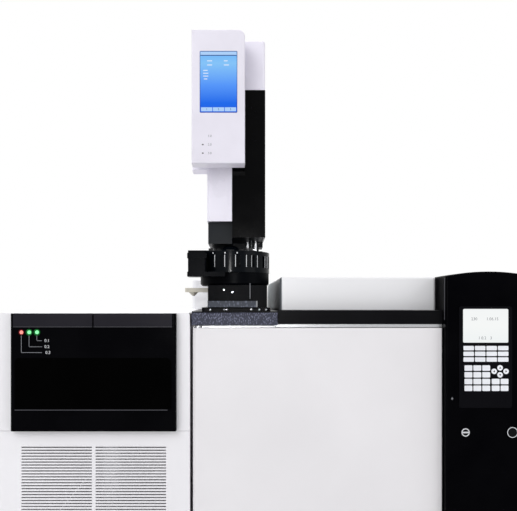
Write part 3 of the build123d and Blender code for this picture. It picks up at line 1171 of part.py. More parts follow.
VIAL_GLASS_TOP = VIAL_Z0 + VIAL_H - VIAL_CAP_H
with BuildPart() as vials:
    with Locations((TURRET_X, TURRET_Y, (VIAL_Z0 + VIAL_GLASS_TOP) / 2)):
        with PolarLocations(VIAL_PITCH_R, VIAL_COUNT, start_angle=NEEDLE_ANGLE):
            Cylinder(VIAL_R, VIAL_GLASS_TOP - VIAL_Z0)
    with Locations((TURRET_X, TURRET_Y, (VIAL_Z0 + VIAL_WALL + VIAL_GLASS_TOP) / 2)):
        with PolarLocations(VIAL_PITCH_R, VIAL_COUNT, start_angle=NEEDLE_ANGLE):
            Cylinder(VIAL_R - VIAL_WALL, VIAL_GLASS_TOP - VIAL_Z0 - VIAL_WALL, mode=Mode.SUBTRACT)
save(vials, "vials")

with BuildPart() as vial_caps:
    with BuildSketch(Plane.XY.offset(VIAL_GLASS_TOP)):
        with Locations((TURRET_X, TURRET_Y)):
            with PolarLocations(VIAL_PITCH_R, VIAL_COUNT, start_angle=NEEDLE_ANGLE):
                Circle(VIAL_R)
            with PolarLocations(VIAL_PITCH_R, VIAL_COUNT, start_angle=NEEDLE_ANGLE):
                Circle(SEPTUM_R, mode=Mode.SUBTRACT)
    extrude(amount=VIAL_CAP_H)
save(vial_caps, "vial_caps")

BOTTLE_CAP_H = 5.0
with BuildPart() as solvent_bottles:
    for angle in BOTTLE_ANGLES:
        bottle_x = TURRET_X + BOTTLE_PITCH_R * math.cos(math.radians(angle))
        bottle_y = TURRET_Y + BOTTLE_PITCH_R * math.sin(math.radians(angle))
        upright(bottle_x, bottle_y, BOTTLE_Z0, BOTTLE_Z0 + BOTTLE_H, BOTTLE_R)
        upright(
            bottle_x, bottle_y, BOTTLE_Z0 + BOTTLE_H, BOTTLE_Z0 + BOTTLE_H + BOTTLE_CAP_H, BOTTLE_R + 0.4,
        )
save(solvent_bottles, "solvent_bottles")

# ======================================================== tower
TOWER_Y = DOOR_Y + TOWER_FRONT
TOWER_BACK = DOOR_Y + 196.0
COLUMN_FACE_X0 = TURRET_X - 38.5  # white column at the left of the syringe bay
BAY_X0 = TURRET_X + 2.5
BAY_WALL_X = TURRET_X + 5.5
BAY_BACK = TURRET_Y + 80.0
COLUMN_FOOT_Z = DECK_Z + 148.0
HEAD_X0 = TURRET_X - 63.1
HEAD_Z0 = DECK_Z + 233.0
HEAD_WING_D = 35.0
TOWER_R = 5.0
GEARBOX_X0 = TURRET_X - 37.0
GEARBOX_X1 = TURRET_X + 2.5
GEARBOX_Z0 = DECK_Z + 111.5
GEARBOX_Y = DOOR_Y + 58.0
SPINE_X0 = TURRET_X - 33.5
SPINE_X1 = TURRET_X + 50.5
SPINE_Y = TURRET_Y + 80.0
FLOOR_T = 4.0
DOOR_WALL = 2.5
DOOR_PIN_X = TOWER_X1 - 3.0
DOOR_PIN_Y = BAY_BACK + 3.0
DOOR_PIN_R = 1.5
DOOR_BARREL_R = 3.0
DOOR_PIN_L = 5.0
ROD_R = 2.5
ROD_SPREAD = 14.0
ROD_Y = NEEDLE_Y + 15.0
GUIDE_Z0 = DECK_Z + 100.0
GUIDE_T = 6.0
GUIDE_HOLE_R = 2.6
BARREL_R = 4.0
BARREL_Z0 = DECK_Z + 156.0
BARREL_L = 70.0
BARREL_BORE_R = 1.2
PLUNGER_R = 0.8
NEEDLE_TIP_Z = DECK_Z + 102.0
CARRIAGE_Z0 = DECK_Z + 160.0
CARRIAGE_H = 56.0
CARRIAGE_FRONT = NEEDLE_Y + 7.0
CARRIAGE_BACK = NEEDLE_Y + 22.0
CARRIAGE_HALF = 13.0
CLAMP_T = 6.0
DRIVER_Z0 = BARREL_Z0 + BARREL_L + 3.0
DRIVER_H = 10.0

# spine: the dark post behind the turret, its bay floor, gearbox and side box
with BuildPart() as tower_spine:
    block(SPINE_X0, SPINE_X1, SPINE_Y, TOWER_BACK, PEDESTAL_TOP, COLUMN_FOOT_Z)
    block(BAY_WALL_X, TOWER_X1 - DOOR_WALL - 1, TOWER_Y + DOOR_WALL + 1, SPINE_Y, BAY_Z0, BAY_Z0 + FLOOR_T)
    block(GEARBOX_X0, GEARBOX_X1, GEARBOX_Y, SPINE_Y, GEARBOX_Z0, COLUMN_FOOT_Z)
    block(GEARBOX_X1, BAY_WALL_X, TOWER_Y + DOOR_WALL + 1, SPINE_Y, BAY_Z0, COLUMN_FOOT_Z)
    upright(NEEDLE_X, NEEDLE_Y, BAY_Z0, BAY_Z0 + FLOOR_T, GUIDE_HOLE_R, mode=Mode.SUBTRACT)
    for side in (-1, 1):
        upright(NEEDLE_X + side * ROD_SPREAD / 2, ROD_Y, BAY_Z0, BAY_Z0 + FLOOR_T, ROD_R,
                mode=Mode.SUBTRACT)
    block(DOOR_PIN_X - 4, DOOR_PIN_X + 3, DOOR_PIN_Y - 4, TOWER_BACK, BAY_Z0 - 7, BAY_Z0 - FIT)
    upright(DOOR_PIN_X, DOOR_PIN_Y, BAY_Z0 - 7, BAY_Z0, DOOR_PIN_R + FIT, mode=Mode.SUBTRACT)
save(tower_spine, "tower_spine")

# side box: a small drive housing that stands on the pedestal's arm
with BuildPart() as side_box:
    block(ARM_X0 + 1, SIDE_BOX_X1, ARM_Y0 + 1, SIDE_BOX_Y1, TURRET_Z0 - FIT, SIDE_BOX_TOP)
    fillet(side_box.edges().filter_by(Axis.Z), radius=2)
    block(ARM_X0, SIDE_BOX_X1 + 1, ARM_Y0, SIDE_BOX_Y1 + 1, SIDE_BOX_TOP - 12, SIDE_BOX_TOP - 4)
save(side_box, "side_box")

# shell: white column, wing and head in one moulding, with the syringe bay
with BuildPart() as tower_shell:
    with BuildSketch(front_plane(TOWER_BACK)):
        with BuildLine():
            Polyline(
                (COLUMN_FACE_X0, COLUMN_FOOT_Z), (TOWER_X1, COLUMN_FOOT_Z),
                (TOWER_X1, TOWER_TOP), (COLUMN_FACE_X0, TOWER_TOP), close=True,
            )
        make_face()
    extrude(amount=TOWER_BACK - TOWER_Y)
    block(HEAD_X0, COLUMN_FACE_X0 + 1, TOWER_Y, TOWER_Y + HEAD_WING_D, HEAD_Z0, TOWER_TOP)
    fillet(
        tower_shell.edges().filter_by(Axis.Z).group_by(Axis.Y)[0]
        + tower_shell.edges().filter_by(Axis.Z).group_by(Axis.Y)[-1],
        radius=TOWER_R,
    )
    fillet(tower_shell.faces().sort_by(Axis.Z)[-1].edges(), radius=3)
    block(BAY_X0, TOWER_X1, TOWER_Y, BAY_BACK, COLUMN_FOOT_Z, BAY_Z1, mode=Mode.SUBTRACT)
    block(BAY_X0, BAY_WALL_X, TOWER_Y + DOOR_WALL + 1, BAY_BACK, COLUMN_FOOT_Z, BAY_Z1)
    block(
        DOOR_PIN_X - DOOR_BARREL_R - 1, TOWER_X1, BAY_BACK, DOOR_PIN_Y + DOOR_BARREL_R + 1,
        COLUMN_FOOT_Z, BAY_Z1, mode=Mode.SUBTRACT,
    )
    upright(DOOR_PIN_X, DOOR_PIN_Y, BAY_Z1, BAY_Z1 + DOOR_PIN_L + 1, DOOR_PIN_R + FIT, mode=Mode.SUBTRACT)
save(tower_shell, "tower_shell")

# syringe door: an angled cover that swings on pins behind its side wall
with BuildPart() as syringe_door:
    with BuildSketch(Plane.XY.offset(BAY_Z0)):
        with BuildLine():
            Polyline(
                (BAY_X0 + PANEL_GAP, TOWER_Y), (TOWER_X1, TOWER_Y), (TOWER_X1, DOOR_PIN_Y),
                (TOWER_X1 - DOOR_WALL, DOOR_PIN_Y), (TOWER_X1 - DOOR_WALL, TOWER_Y + DOOR_WALL),
                (BAY_X0 + PANEL_GAP, TOWER_Y + DOOR_WALL), close=True,
            )
        make_face()
    extrude(amount=BAY_Z1 - FIT - BAY_Z0)
    upright(DOOR_PIN_X, DOOR_PIN_Y, BAY_Z0, BAY_Z1 - FIT, DOOR_BARREL_R)
    upright(DOOR_PIN_X, DOOR_PIN_Y, BAY_Z0 - DOOR_PIN_L, BAY_Z1 + DOOR_PIN_L, DOOR_PIN_R)
save(syringe_door, "syringe_door")

# guide rods with the needle guide at their lower end
with BuildPart() as guide_rods:
    for side in (-1, 1):
        upright(NEEDLE_X + side * ROD_SPREAD / 2, ROD_Y, GUIDE_Z0, BAY_Z1, ROD_R)
    block(NEEDLE_X - 8, NEEDLE_X + 8, NEEDLE_Y - 5, ROD_Y + 4, GUIDE_Z0, GUIDE_Z0 + GUIDE_T)
    upright(NEEDLE_X, NEEDLE_Y, GUIDE_Z0, GUIDE_Z0 + GUIDE_T, GUIDE_HOLE_R, mode=Mode.SUBTRACT)
save(guide_rods, "guide_rods")

# syringe carriage: a block on the rods with two arms that hold the barrel
with BuildPart() as syringe_carriage:
    block(NEEDLE_X - CARRIAGE_HALF, NEEDLE_X + CARRIAGE_HALF, CARRIAGE_FRONT, CARRIAGE_BACK,
          CARRIAGE_Z0, CARRIAGE_Z0 + CARRIAGE_H)
    for arm_z in (CARRIAGE_Z0, CARRIAGE_Z0 + CARRIAGE_H - CLAMP_T):
        block(NEEDLE_X - 8, NEEDLE_X + 8, NEEDLE_Y - 6, CARRIAGE_FRONT, arm_z, arm_z + CLAMP_T)
    upright(NEEDLE_X, NEEDLE_Y, CARRIAGE_Z0, CARRIAGE_Z0 + CARRIAGE_H, BARREL_R, mode=Mode.SUBTRACT)
    for side in (-1, 1):
        upright(NEEDLE_X + side * ROD_SPREAD / 2, ROD_Y, CARRIAGE_Z0, CARRIAGE_Z0 + CARRIAGE_H,
                ROD_R + FIT, mode=Mode.SUBTRACT)
save(syringe_carriage, "syringe_carriage")

# syringe barrel with its hub and steel needle
with BuildPart() as syringe_barrel:
    upright(NEEDLE_X, NEEDLE_Y, BARREL_Z0, BARREL_Z0 + BARREL_L, BARREL_R)
    upright(NEEDLE_X, NEEDLE_Y, BARREL_Z0 - 6, BARREL_Z0, 2)
    upright(NEEDLE_X, NEEDLE_Y, NEEDLE_TIP_Z, BARREL_Z0 - 6, NEEDLE_R)
    upright(NEEDLE_X, NEEDLE_Y, BARREL_Z0 + 2, BARREL_Z0 + BARREL_L, BARREL_BORE_R, mode=Mode.SUBTRACT)
save(syringe_barrel, "syringe_barrel")

# plunger: its rod, and the driver block that grips it and runs on the rods
with BuildPart() as syringe_plunger:
    upright(NEEDLE_X, NEEDLE_Y, BARREL_Z0 + 4, DRIVER_Z0, PLUNGER_R)
    block(NEEDLE_X - CARRIAGE_HALF, NEEDLE_X + CARRIAGE_HALF, NEEDLE_Y - 6, CARRIAGE_BACK,
          DRIVER_Z0, DRIVER_Z0 + DRIVER_H)
    for side in (-1, 1):
        upright(NEEDLE_X + side * ROD_SPREAD / 2, ROD_Y, DRIVER_Z0, DRIVER_Z0 + DRIVER_H,
                ROD_R + FIT, mode=Mode.SUBTRACT)
save(syringe_plunger, "syringe_plunger")

# ======================================================== touch display
SCREEN_X0 = TURRET_X - 60.7
SCREEN_X1 = TURRET_X + 23.5
SCREEN_Y = DOOR_Y + SCREEN_FRONT
SCREEN_BACK = SCREEN_Y + SCREEN_D
SCREEN_CORNER_R = 11.0
SCREEN_EDGE_R = 2.0
GLASS_W = 59.2
GLASS_H = 97.3
GLASS_X = TURRET_X - 18.2
GLASS_Z = DECK_Z + 361.3
GLASS_T = 2.0
NECK_X0 = TURRET_X - 47.5
NECK_X1 = TURRET_X - 3.5
NECK_Z0 = DECK_Z + 262.0
NECK_Z1 = DECK_Z + 422.0

with BuildPart() as display_housing:
    with BuildSketch(front_plane(SCREEN_BACK)) as screen_outline:
        with Locations(((SCREEN_X0 + SCREEN_X1) / 2, (SCREEN_Z0 + SCREEN_Z1) / 2)):
            Rectangle(SCREEN_X1 - SCREEN_X0, SCREEN_Z1 - SCREEN_Z0)
        low_right = screen_outline.vertices().group_by(Axis.Z)[0].sort_by(Axis.X)[-1]
        fillet(low_right, radius=SCREEN_CORNER_R)
    extrude(amount=SCREEN_D)
    fillet(display_housing.edges().group_by(Axis.Y)[0], radius=SCREEN_EDGE_R)
    block(NECK_X0, NECK_X1, SCREEN_BACK, TOWER_Y, NECK_Z0, NECK_Z1)
    with BuildSketch(front_plane(SCREEN_Y)):
        with Locations((GLASS_X, GLASS_Z)):
            RectangleRounded(GLASS_W, GLASS_H, 1.5)
    extrude(amount=-GLASS_T, mode=Mode.SUBTRACT)
save(display_housing, "display_housing")

with BuildPart() as touch_screen:
    with BuildSketch(front_plane(SCREEN_Y + GLASS_T)):
        with Locations((GLASS_X, GLASS_Z)):
            RectangleRounded(GLASS_W, GLASS_H, 1.5)
    extrude(amount=GLASS_T - 0.4)
save(touch_screen, "touch_screen")
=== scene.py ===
# %% [markdown]
# # A bench gas chromatograph, dressed for a render
# The machine comes as rigid bodies that were packed beforehand. This lesson
# loads them as a fixed frame, finds each surface a believable finish, and adds
# the small things that a solid model leaves out: figures, printed lines,
# screws, and what the two small displays show.

# %% Load the frame
import math

import bmesh
import bpy
from mathutils import Matrix, Vector


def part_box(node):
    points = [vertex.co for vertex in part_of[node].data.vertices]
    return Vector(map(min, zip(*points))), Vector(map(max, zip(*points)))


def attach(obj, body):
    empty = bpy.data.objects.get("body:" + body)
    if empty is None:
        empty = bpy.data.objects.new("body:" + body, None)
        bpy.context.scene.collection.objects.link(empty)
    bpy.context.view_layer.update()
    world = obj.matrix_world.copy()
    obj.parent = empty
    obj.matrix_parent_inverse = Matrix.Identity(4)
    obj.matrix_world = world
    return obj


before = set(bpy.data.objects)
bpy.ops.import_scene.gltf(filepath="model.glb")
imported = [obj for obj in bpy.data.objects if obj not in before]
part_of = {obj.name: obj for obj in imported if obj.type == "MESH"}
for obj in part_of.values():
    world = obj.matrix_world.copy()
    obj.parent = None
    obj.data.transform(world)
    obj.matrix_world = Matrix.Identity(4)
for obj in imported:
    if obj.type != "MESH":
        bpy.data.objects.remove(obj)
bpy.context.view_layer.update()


def rounded(corner, digits=1):
    """The three numbers of a corner, short enough to print."""
    return [round(v, digits) for v in corner]


# %% [markdown]
# ## Where the viewer stands
# The upright edges stay parallel, so the camera looks level and is shifted
# up, as an architect's lens is. Moving the lens instead of tilting the camera
# keeps the tower's sides plumb.

# %% Camera
MM = 0.001
PICTURE_W = 517.0
PICTURE_H = 511.0
LENS_PIXELS = 594.0
LEVEL_U = 237.0
LEVEL_V = 302.0
SENSOR_W = 36.0                    # width of the sensor, in mm
EYE = Vector((-0.0416, -1.200, 0.4527))
camera_data = bpy.data.cameras.new("viewer")
camera_data.sensor_fit = "HORIZONTAL"
camera_data.sensor_width = SENSOR_W
camera_data.lens = LENS_PIXELS * SENSOR_W / PICTURE_W
camera_data.shift_x = (PICTURE_W / 2 - LEVEL_U) / PICTURE_W
camera_data.shift_y = (LEVEL_V - PICTURE_H / 2) / PICTURE_W
camera_data.clip_end = 50.0
camera = bpy.data.objects.new("viewer", camera_data)
camera.location = EYE
camera.rotation_euler = (math.radians(90), 0, 0)
scene = bpy.context.scene
scene.collection.objects.link(camera)
scene.camera = camera
print("lens", round(camera_data.lens, 2), "mm, shift",
      round(camera_data.shift_x, 4), round(camera_data.shift_y, 4))

# %% [markdown]
# ## Nodes in few words
# Light and surfaces are made of nodes, and each node needs the same three
# things: to be made, to be set, and to be wired. One helper does all three.

# %% Helpers for nodes
def wire(tree, node, wired):
    """Gives a node's inputs their sockets or plain values."""
    for label, source in wired.items():
        if isinstance(source, bpy.types.NodeSocket):
            tree.links.new(source, node.inputs[label])
        else:
            node.inputs[label].default_value = source


def added(tree, kind, wired, **options):
    """A new node with its options set and its inputs wired."""
    node = tree.nodes.new(kind)
    for option, value in options.items():
        setattr(node, option, value)
    wire(tree, node, wired)
    return node


print("node helpers ready")

# %% [markdown]
# ## A white studio
# A seamless white surround shows the pale cabinets only by their shading, so
# the light has to be broad and even, a little stronger from the upper left.
# The surround is white to the eye and to mirrors, yet it sends no more light
# to the machine than an ordinary room would.

# %% World and lamps
WHITE = (1, 1, 1, 1)
ROOM_LIGHT = 0.50                  # strength of the light that reaches the machine


def seen_rays(tree):
    """1 for a ray that is seen, 0 for a ray that lights something."""
    ray = tree.nodes.new("ShaderNodeLightPath")
    seen = ray.outputs["Is Camera Ray"]
    for kind in ("Is Transmission Ray", "Is Glossy Ray"):
        seen = added(tree, "ShaderNodeMath", {0: seen, 1: ray.outputs[kind]},
                     operation="MAXIMUM").outputs[0]
    return seen


scene.view_settings.view_transform = "Standard"
world = bpy.data.worlds.new("studio")
scene.world = world
world.use_nodes = True
sky = world.node_tree
sky.nodes.clear()
room_fill, white_wall = (
    added(sky, "ShaderNodeBackground", {"Color": WHITE, "Strength": strength}).outputs[0]
    for strength in (ROOM_LIGHT, 1.0)
)
chosen = added(sky, "ShaderNodeMixShader", {0: seen_rays(sky), 1: room_fill, 2: white_wall})
added(sky, "ShaderNodeOutputWorld", {"Surface": chosen.outputs[0]})


def soft_lamp(name, place, aim, size, watts):
    """A square area lamp that points from its place to its aim."""
    data = bpy.data.lights.new(name, "AREA")
    data.shape = "SQUARE"
    data.size = size
    data.energy = watts
    lamp = bpy.data.objects.new(name, data)
    lamp.location = place
    lamp.rotation_euler = (Vector(aim) - Vector(place)).to_track_quat("-Z", "Y").to_euler()
    scene.collection.objects.link(lamp)
    return lamp


MIDDLE = (0.0, 0.0, 0.45)
for lamp_name, lamp_place, lamp_size, lamp_watts in (
    ("key_lamp", (-1.5, -2.3, 2.0), 1.8, 36),
    ("side_lamp", (2.4, -1.6, 1.2), 1.8, 16),
    ("top_lamp", (0.1, 0.2, 2.8), 2.0, 20),
    ("back_lamp", (-0.6, 2.6, 1.5), 1.8, 20),
):
    soft_lamp(lamp_name, lamp_place, MIDDLE, lamp_size, lamp_watts)
# a small strip lamp beside the viewer, for the glint on the round turret
TURRET_FRONT = (-0.0525, -0.265, 0.495)
STRIP_W, STRIP_H = 0.012, 0.045
strip = soft_lamp("glint_lamp", (-0.060, -1.210, 0.525), TURRET_FRONT, STRIP_W, 3.0)
strip.data.shape = "RECTANGLE"
strip.data.size_y = STRIP_H
strip.visible_diffuse = False

# %% Floor
REACH = 12.0
FLOOR_Z = -0.0005                  # just under the feet, so that no faces coincide
GLOW_SHARE = 0.75                  # how much of the floor's colour is its own light
floor_mesh = bpy.data.meshes.new("bench_floor")
floor_mesh.from_pydata(
    [(x * REACH, y * REACH, FLOOR_Z) for x, y in ((-1, -1), (1, -1), (1, 1), (-1, 1))],
    [], [(0, 1, 2, 3)],
)
bench_floor = bpy.data.objects.new("bench_floor", floor_mesh)
scene.collection.objects.link(bench_floor)
floor_finish = bpy.data.materials.new("white_bench")
floor_finish.use_nodes = True
bench = floor_finish.node_tree
matt = bench.nodes["Principled BSDF"]
wire(bench, matt, {"Base Color": (0.86, 0.86, 0.86, 1), "Roughness": 0.7})
glow = added(bench, "ShaderNodeEmission", {"Strength": 1.0})
share = added(bench, "ShaderNodeMath", {0: seen_rays(bench), 1: GLOW_SHARE}, operation="MULTIPLY")
mixed = added(bench, "ShaderNodeMixShader",
              {0: share.outputs[0], 1: matt.outputs[0], 2: glow.outputs[0]})
wire(bench, bench.nodes["Material Output"], {"Surface": mixed.outputs[0]})
floor_mesh.materials.append(floor_finish)
print("floor", 2 * REACH, "m wide")

# %% [markdown]
# ## How the finishes are made
# Nearly every surface here is one of three kinds: sprayed metal, moulded
# plastic or bare metal. Each kind gets a recipe, and each recipe works on
# Object coordinates, so the grain has the same real size on a door and on a
# knob. Fine noise gives the touch of the surface, and a slow cloud of noise
# keeps large panels from looking like cut-out paper.

# %% Helpers for finishes
def linear(red, green, blue):
    """Screen colour from 0 to 255 as the linear colour that a shader takes."""
    def one(value):
        value /= 255.0
        return value / 12.92 if value <= 0.04045 else ((value + 0.055) / 1.055) ** 2.4
    return (one(red), one(green), one(blue), 1.0)


def new_finish(name):
    """An empty finish: its material, node tree, shader and Object coordinates."""
    material = bpy.data.materials.new(name)
    material.use_nodes = True
    tree = material.node_tree
    where = tree.nodes.new("ShaderNodeTexCoord").outputs["Object"]
    return material, tree, tree.nodes["Principled BSDF"], where


def noise(tree, where, size_mm, detail=2.0, rough=0.5, stretch=None):
    """Noise whose blobs are about size_mm across; stretch makes it long along an axis."""
    if stretch:
        where = added(tree, "ShaderNodeMapping",
                      {"Scale": stretch, "Vector": where}).outputs["Vector"]
    return added(tree, "ShaderNodeTexNoise", {
        "Scale": 1.0 / (size_mm * MM), "Detail": detail, "Roughness": rough, "Vector": where,
    }).outputs["Fac"]


def spread(tree, source, low, high, from_low=0.3, from_high=0.7):
    """The source's middle range mapped to low..high."""
    return added(tree, "ShaderNodeMapRange", {
        "From Min": from_low, "From Max": from_high, "To Min": low, "To Max": high,
        "Value": source,
    }).outputs["Result"]


def along_axis(tree, where, axis):
    """One coordinate of a place, in metres."""
    return added(tree, "ShaderNodeSeparateXYZ", {"Vector": where}).outputs[axis]


def ramped(tree, source, stops):
    """Colours along a 0..1 source: stops are (place, colour), lowest first."""
    node = added(tree, "ShaderNodeValToRGB", {"Fac": source})
    for element, (place, rgb) in zip(node.color_ramp.elements, (stops[0], stops[-1])):
        element.position = place
        element.color = linear(*rgb)
    for place, rgb in stops[1:-1]:
        node.color_ramp.elements.new(place).color = linear(*rgb)
    return node.outputs["Color"]


def two_colours(tree, source, first, second):
    """A mix of two colours driven by a 0..1 source."""
    return added(tree, "ShaderNodeMix", {"A": first, "B": second, "Factor": source},
                 data_type="RGBA").outputs["Result"]


def dent(tree, source, depth_mm, strength=0.5):
    """The normal of a bump of the given depth."""
    return added(tree, "ShaderNodeBump", {
        "Distance": depth_mm * MM, "Strength": strength, "Height": source,
    }).outputs["Normal"]


print("finish helpers ready")

# %% [markdown]
# ## Sprayed metal
# Powder coat is a skin of melted grains: it has an orange-peel texture about
# a millimetre across and a soft, broad shine. A brushed or rolled look would
# be wrong here, so only round noise is used.

# %% Sprayed metal
def sprayed(name, rgb, rough=0.42, peel_mm=0.9, depth_mm=0.035, shade=0.025, shine=0.5):
    """Powder-coated sheet metal with an orange-peel skin."""
    material, tree, shader, where = new_finish(name)
    base = linear(*rgb)
    darker = tuple(c * (1 - shade * 2) for c in base[:3]) + (1.0,)
    cloud = spread(tree, noise(tree, where, 160.0, detail=3.0), 0.0, 1.0)
    peel = noise(tree, where, peel_mm, detail=1.5)
    wire(tree, shader, {
        "Specular IOR Level": shine,
        "Base Color": two_colours(tree, cloud, base, darker),
        "Roughness": spread(tree, peel, rough - 0.05, rough + 0.07),
        "Normal": dent(tree, peel, depth_mm, 0.45),
    })
    return material


sprayed("white_powder_coat", (238, 237, 241))
sprayed("oven_door_powder_coat", (234, 232, 235), rough=0.40, peel_mm=1.1, depth_mm=0.04,
        shine=0.15)
sprayed("grey_powder_coat", (200, 201, 205), rough=0.5, peel_mm=1.2, depth_mm=0.05)
sprayed("black_deck_coat", (10, 10, 14), rough=0.36, peel_mm=0.8, depth_mm=0.03,
        shade=0.10, shine=0.04)
print("sprayed finishes", len([m for m in bpy.data.materials if m.name.endswith("_coat")]))

# %% [markdown]
# ## Moulded plastic
# A moulding copies the spark-eroded skin of its tool: a much finer grain than
# paint, and a slightly uneven gloss where hands touch it.

# %% Moulded plastic
def moulded(name, rgb, rough=0.38, grain_mm=0.35, depth_mm=0.012, wear=0.06, shine=0.5):
    """Moulded plastic with a fine eroded grain and hand-polished patches."""
    material, tree, shader, where = new_finish(name)
    base = linear(*rgb)
    lighter = tuple(min(1.0, c * 1.06 + 0.0006) for c in base[:3]) + (1.0,)
    patches = spread(tree, noise(tree, where, 60.0, detail=3.0), 0.0, 1.0, 0.35, 0.65)
    wire(tree, shader, {
        "Specular IOR Level": shine,
        "Base Color": two_colours(tree, patches, base, lighter),
        "Roughness": spread(tree, patches, rough - wear, rough + wear, 0.0, 1.0),
        "Normal": dent(tree, noise(tree, where, grain_mm, detail=1.0), depth_mm, 0.4),
    })
    return material


moulded("tower_white_moulding", (232, 229, 241), rough=0.32, shine=0.3)
moulded("display_white_moulding", (224, 221, 232), rough=0.34, shine=0.25)
moulded("detector_cover_moulding", (246, 246, 249), rough=0.34, grain_mm=0.5, depth_mm=0.02)
moulded("deck_trim_moulding", (7, 7, 10), rough=0.4, shine=0.05)
moulded("control_column_moulding", (2, 2, 4), rough=0.34, shine=0.012)
moulded("keypad_bezel_moulding", (7, 7, 11), rough=0.46, shine=0.03)
moulded("cabinet_bezel_moulding", (3, 3, 5), rough=0.27, wear=0.04, shine=0.015)
band_grey = moulded("bezel_band_moulding", (31, 30, 36), rough=0.38, shine=0.06)
moulded("tower_black_moulding", (3, 4, 7), rough=0.36, shine=0.02)
moulded("tower_spine_moulding", (32, 35, 39), rough=0.42, shine=0.06)
moulded("syringe_door_moulding", (2, 2, 3), rough=0.2, wear=0.04, shine=0.04)
moulded("turret_moulding", (5, 8, 13), rough=0.14, wear=0.03, shine=0.05)
moulded("key_moulding", (232, 234, 240), rough=0.42, shine=0.3)
moulded("button_moulding", (7, 7, 10), rough=0.4, shine=0.07)
moulded("vial_cap_moulding", (14, 14, 18), rough=0.42, shine=0.2)
moulded("bottle_moulding", (15, 16, 21), rough=0.3, shine=0.3)
moulded("clamp_lever_moulding", (205, 200, 187), rough=0.42)
moulded("mains_socket_moulding", (20, 20, 22), rough=0.5, shine=0.2)
print("moulded finishes", len([m for m in bpy.data.materials if "moulding" in m.name]))

# %% [markdown]
# ## Bare metal
# Sheet steel in and round the oven is brushed one way. Noise squeezed along
# two axes gives long fine lines; the same lines vary the roughness, which is
# what makes a brushed sheet sparkle in a band.

# %% Bare metal
def brushed(name, rgb, rough=0.3, along=(0.02, 1.0, 1.0), line_mm=0.25, depth_mm=0.006, stain=None):
    """Brushed metal whose lines run along the axis with the small scale."""
    material, tree, shader, where = new_finish(name)
    base = linear(*rgb)
    lines = noise(tree, where, line_mm, stretch=along)
    second = stain or tuple(c * 0.86 for c in base[:3]) + (1.0,)
    source = noise(tree, where, 35.0, detail=3.0) if stain else lines
    wire(tree, shader, {
        "Metallic": 1.0,
        "Base Color": two_colours(tree, spread(tree, source, 0.0, 1.0), base, second),
        "Roughness": spread(tree, lines, rough - 0.08, rough + 0.10),
        "Normal": dent(tree, lines, depth_mm, 0.4),
    })
    return material


brushed("brushed_steel_sheet", (190, 191, 194))
brushed("turned_steel", (196, 197, 200), rough=0.2, along=(1.0, 1.0, 0.05), line_mm=0.4)
brushed("oven_steel", (176, 174, 170), rough=0.34, along=(1.0, 0.03, 1.0),
        stain=linear(158, 150, 136))
brushed("heater_sheath", (116, 106, 98), rough=0.42, stain=linear(92, 78, 84))
brushed("machined_aluminium", (200, 202, 206), rough=0.32, line_mm=0.6)
brushed("anodised_carriage", (118, 120, 128), rough=0.38, line_mm=0.5)
brushed("brass_fitting", (206, 172, 104), rough=0.24, along=(1.0, 0.05, 1.0), line_mm=0.3)
moulded("motor_paint", (36, 37, 40), rough=0.44, grain_mm=0.8, depth_mm=0.03)
print("bare metals ready")

# %% [markdown]
# ## Rubber, wool, glass and the wound column
# These four behave differently from the rest. Rubber is rough and nearly
# black. Ceramic wool is a felt of fibres, drawn with stretched noise. Clear
# glass lets light through. The fused silica column has an amber skin, and its
# turns are far too fine to model one by one, so a wave pattern draws them.

# %% Rubber, wool, glass and the wound column
def felt(name, rgb):
    """Ceramic wool board with loose fibres."""
    material, tree, shader, where = new_finish(name)
    fibres = noise(tree, where, 2.0, detail=5.0, rough=0.7, stretch=(0.3, 1.0, 1.0))
    wire(tree, shader, {
        "Base Color": two_colours(tree, spread(tree, fibres, 0.0, 1.0),
                                  linear(*rgb), linear(196, 190, 176)),
        "Roughness": 0.95,
        "Normal": dent(tree, fibres, 0.8, 0.8),
    })
    return material


def clear_glass(name, tint):
    """Clear glass with a faint tint and a few fine streaks in its gloss."""
    material, tree, shader, where = new_finish(name)
    wire(tree, shader, {
        "Base Color": tint,
        "Transmission Weight": 0.9,
        "IOR": 1.47,
        "Roughness": spread(tree, noise(tree, where, 8.0, detail=3.0), 0.03, 0.10),
    })
    return material


TURN_PITCH = 0.9                   # distance from turn to turn of the column, in mm
BANDS = 20.0                       # a wave texture at scale 1 has 20 bands in 2 pi


def wound(name):
    """Amber fused silica in fine turns, side by side along Y."""
    material, tree, shader, where = new_finish(name)
    turns = added(tree, "ShaderNodeTexWave", {
        "Scale": math.tau / (BANDS * TURN_PITCH * MM), "Distortion": 1.2, "Detail Scale": 30.0,
        "Vector": where,
    }, wave_type="BANDS", bands_direction="Y").outputs["Fac"]
    wire(tree, shader, {
        "Base Color": two_colours(tree, turns, linear(96, 50, 20), linear(186, 118, 58)),
        "Roughness": 0.22,
        "Normal": dent(tree, turns, 0.3, 0.8),
    })
    return material


felt("ceramic_wool", (226, 224, 216))
moulded("foot_rubber", (28, 28, 30), rough=0.82, grain_mm=0.6, depth_mm=0.05)
clear_glass("vial_glass", (0.93, 0.96, 0.97, 1.0))
wound("column_turns")
print("special finishes ready")

# %% [markdown]
# ## Three signal lamps from one finish
# The lamps are one solid piece: red on the left, then two greens. The finish
# asks how far right it is on the machine and picks the colour there. A lit
# lens glows, so a little emission goes with its colour.

# %% Signal lamps
RED_SHARE = 0.28                   # part of the row that the red lamp takes


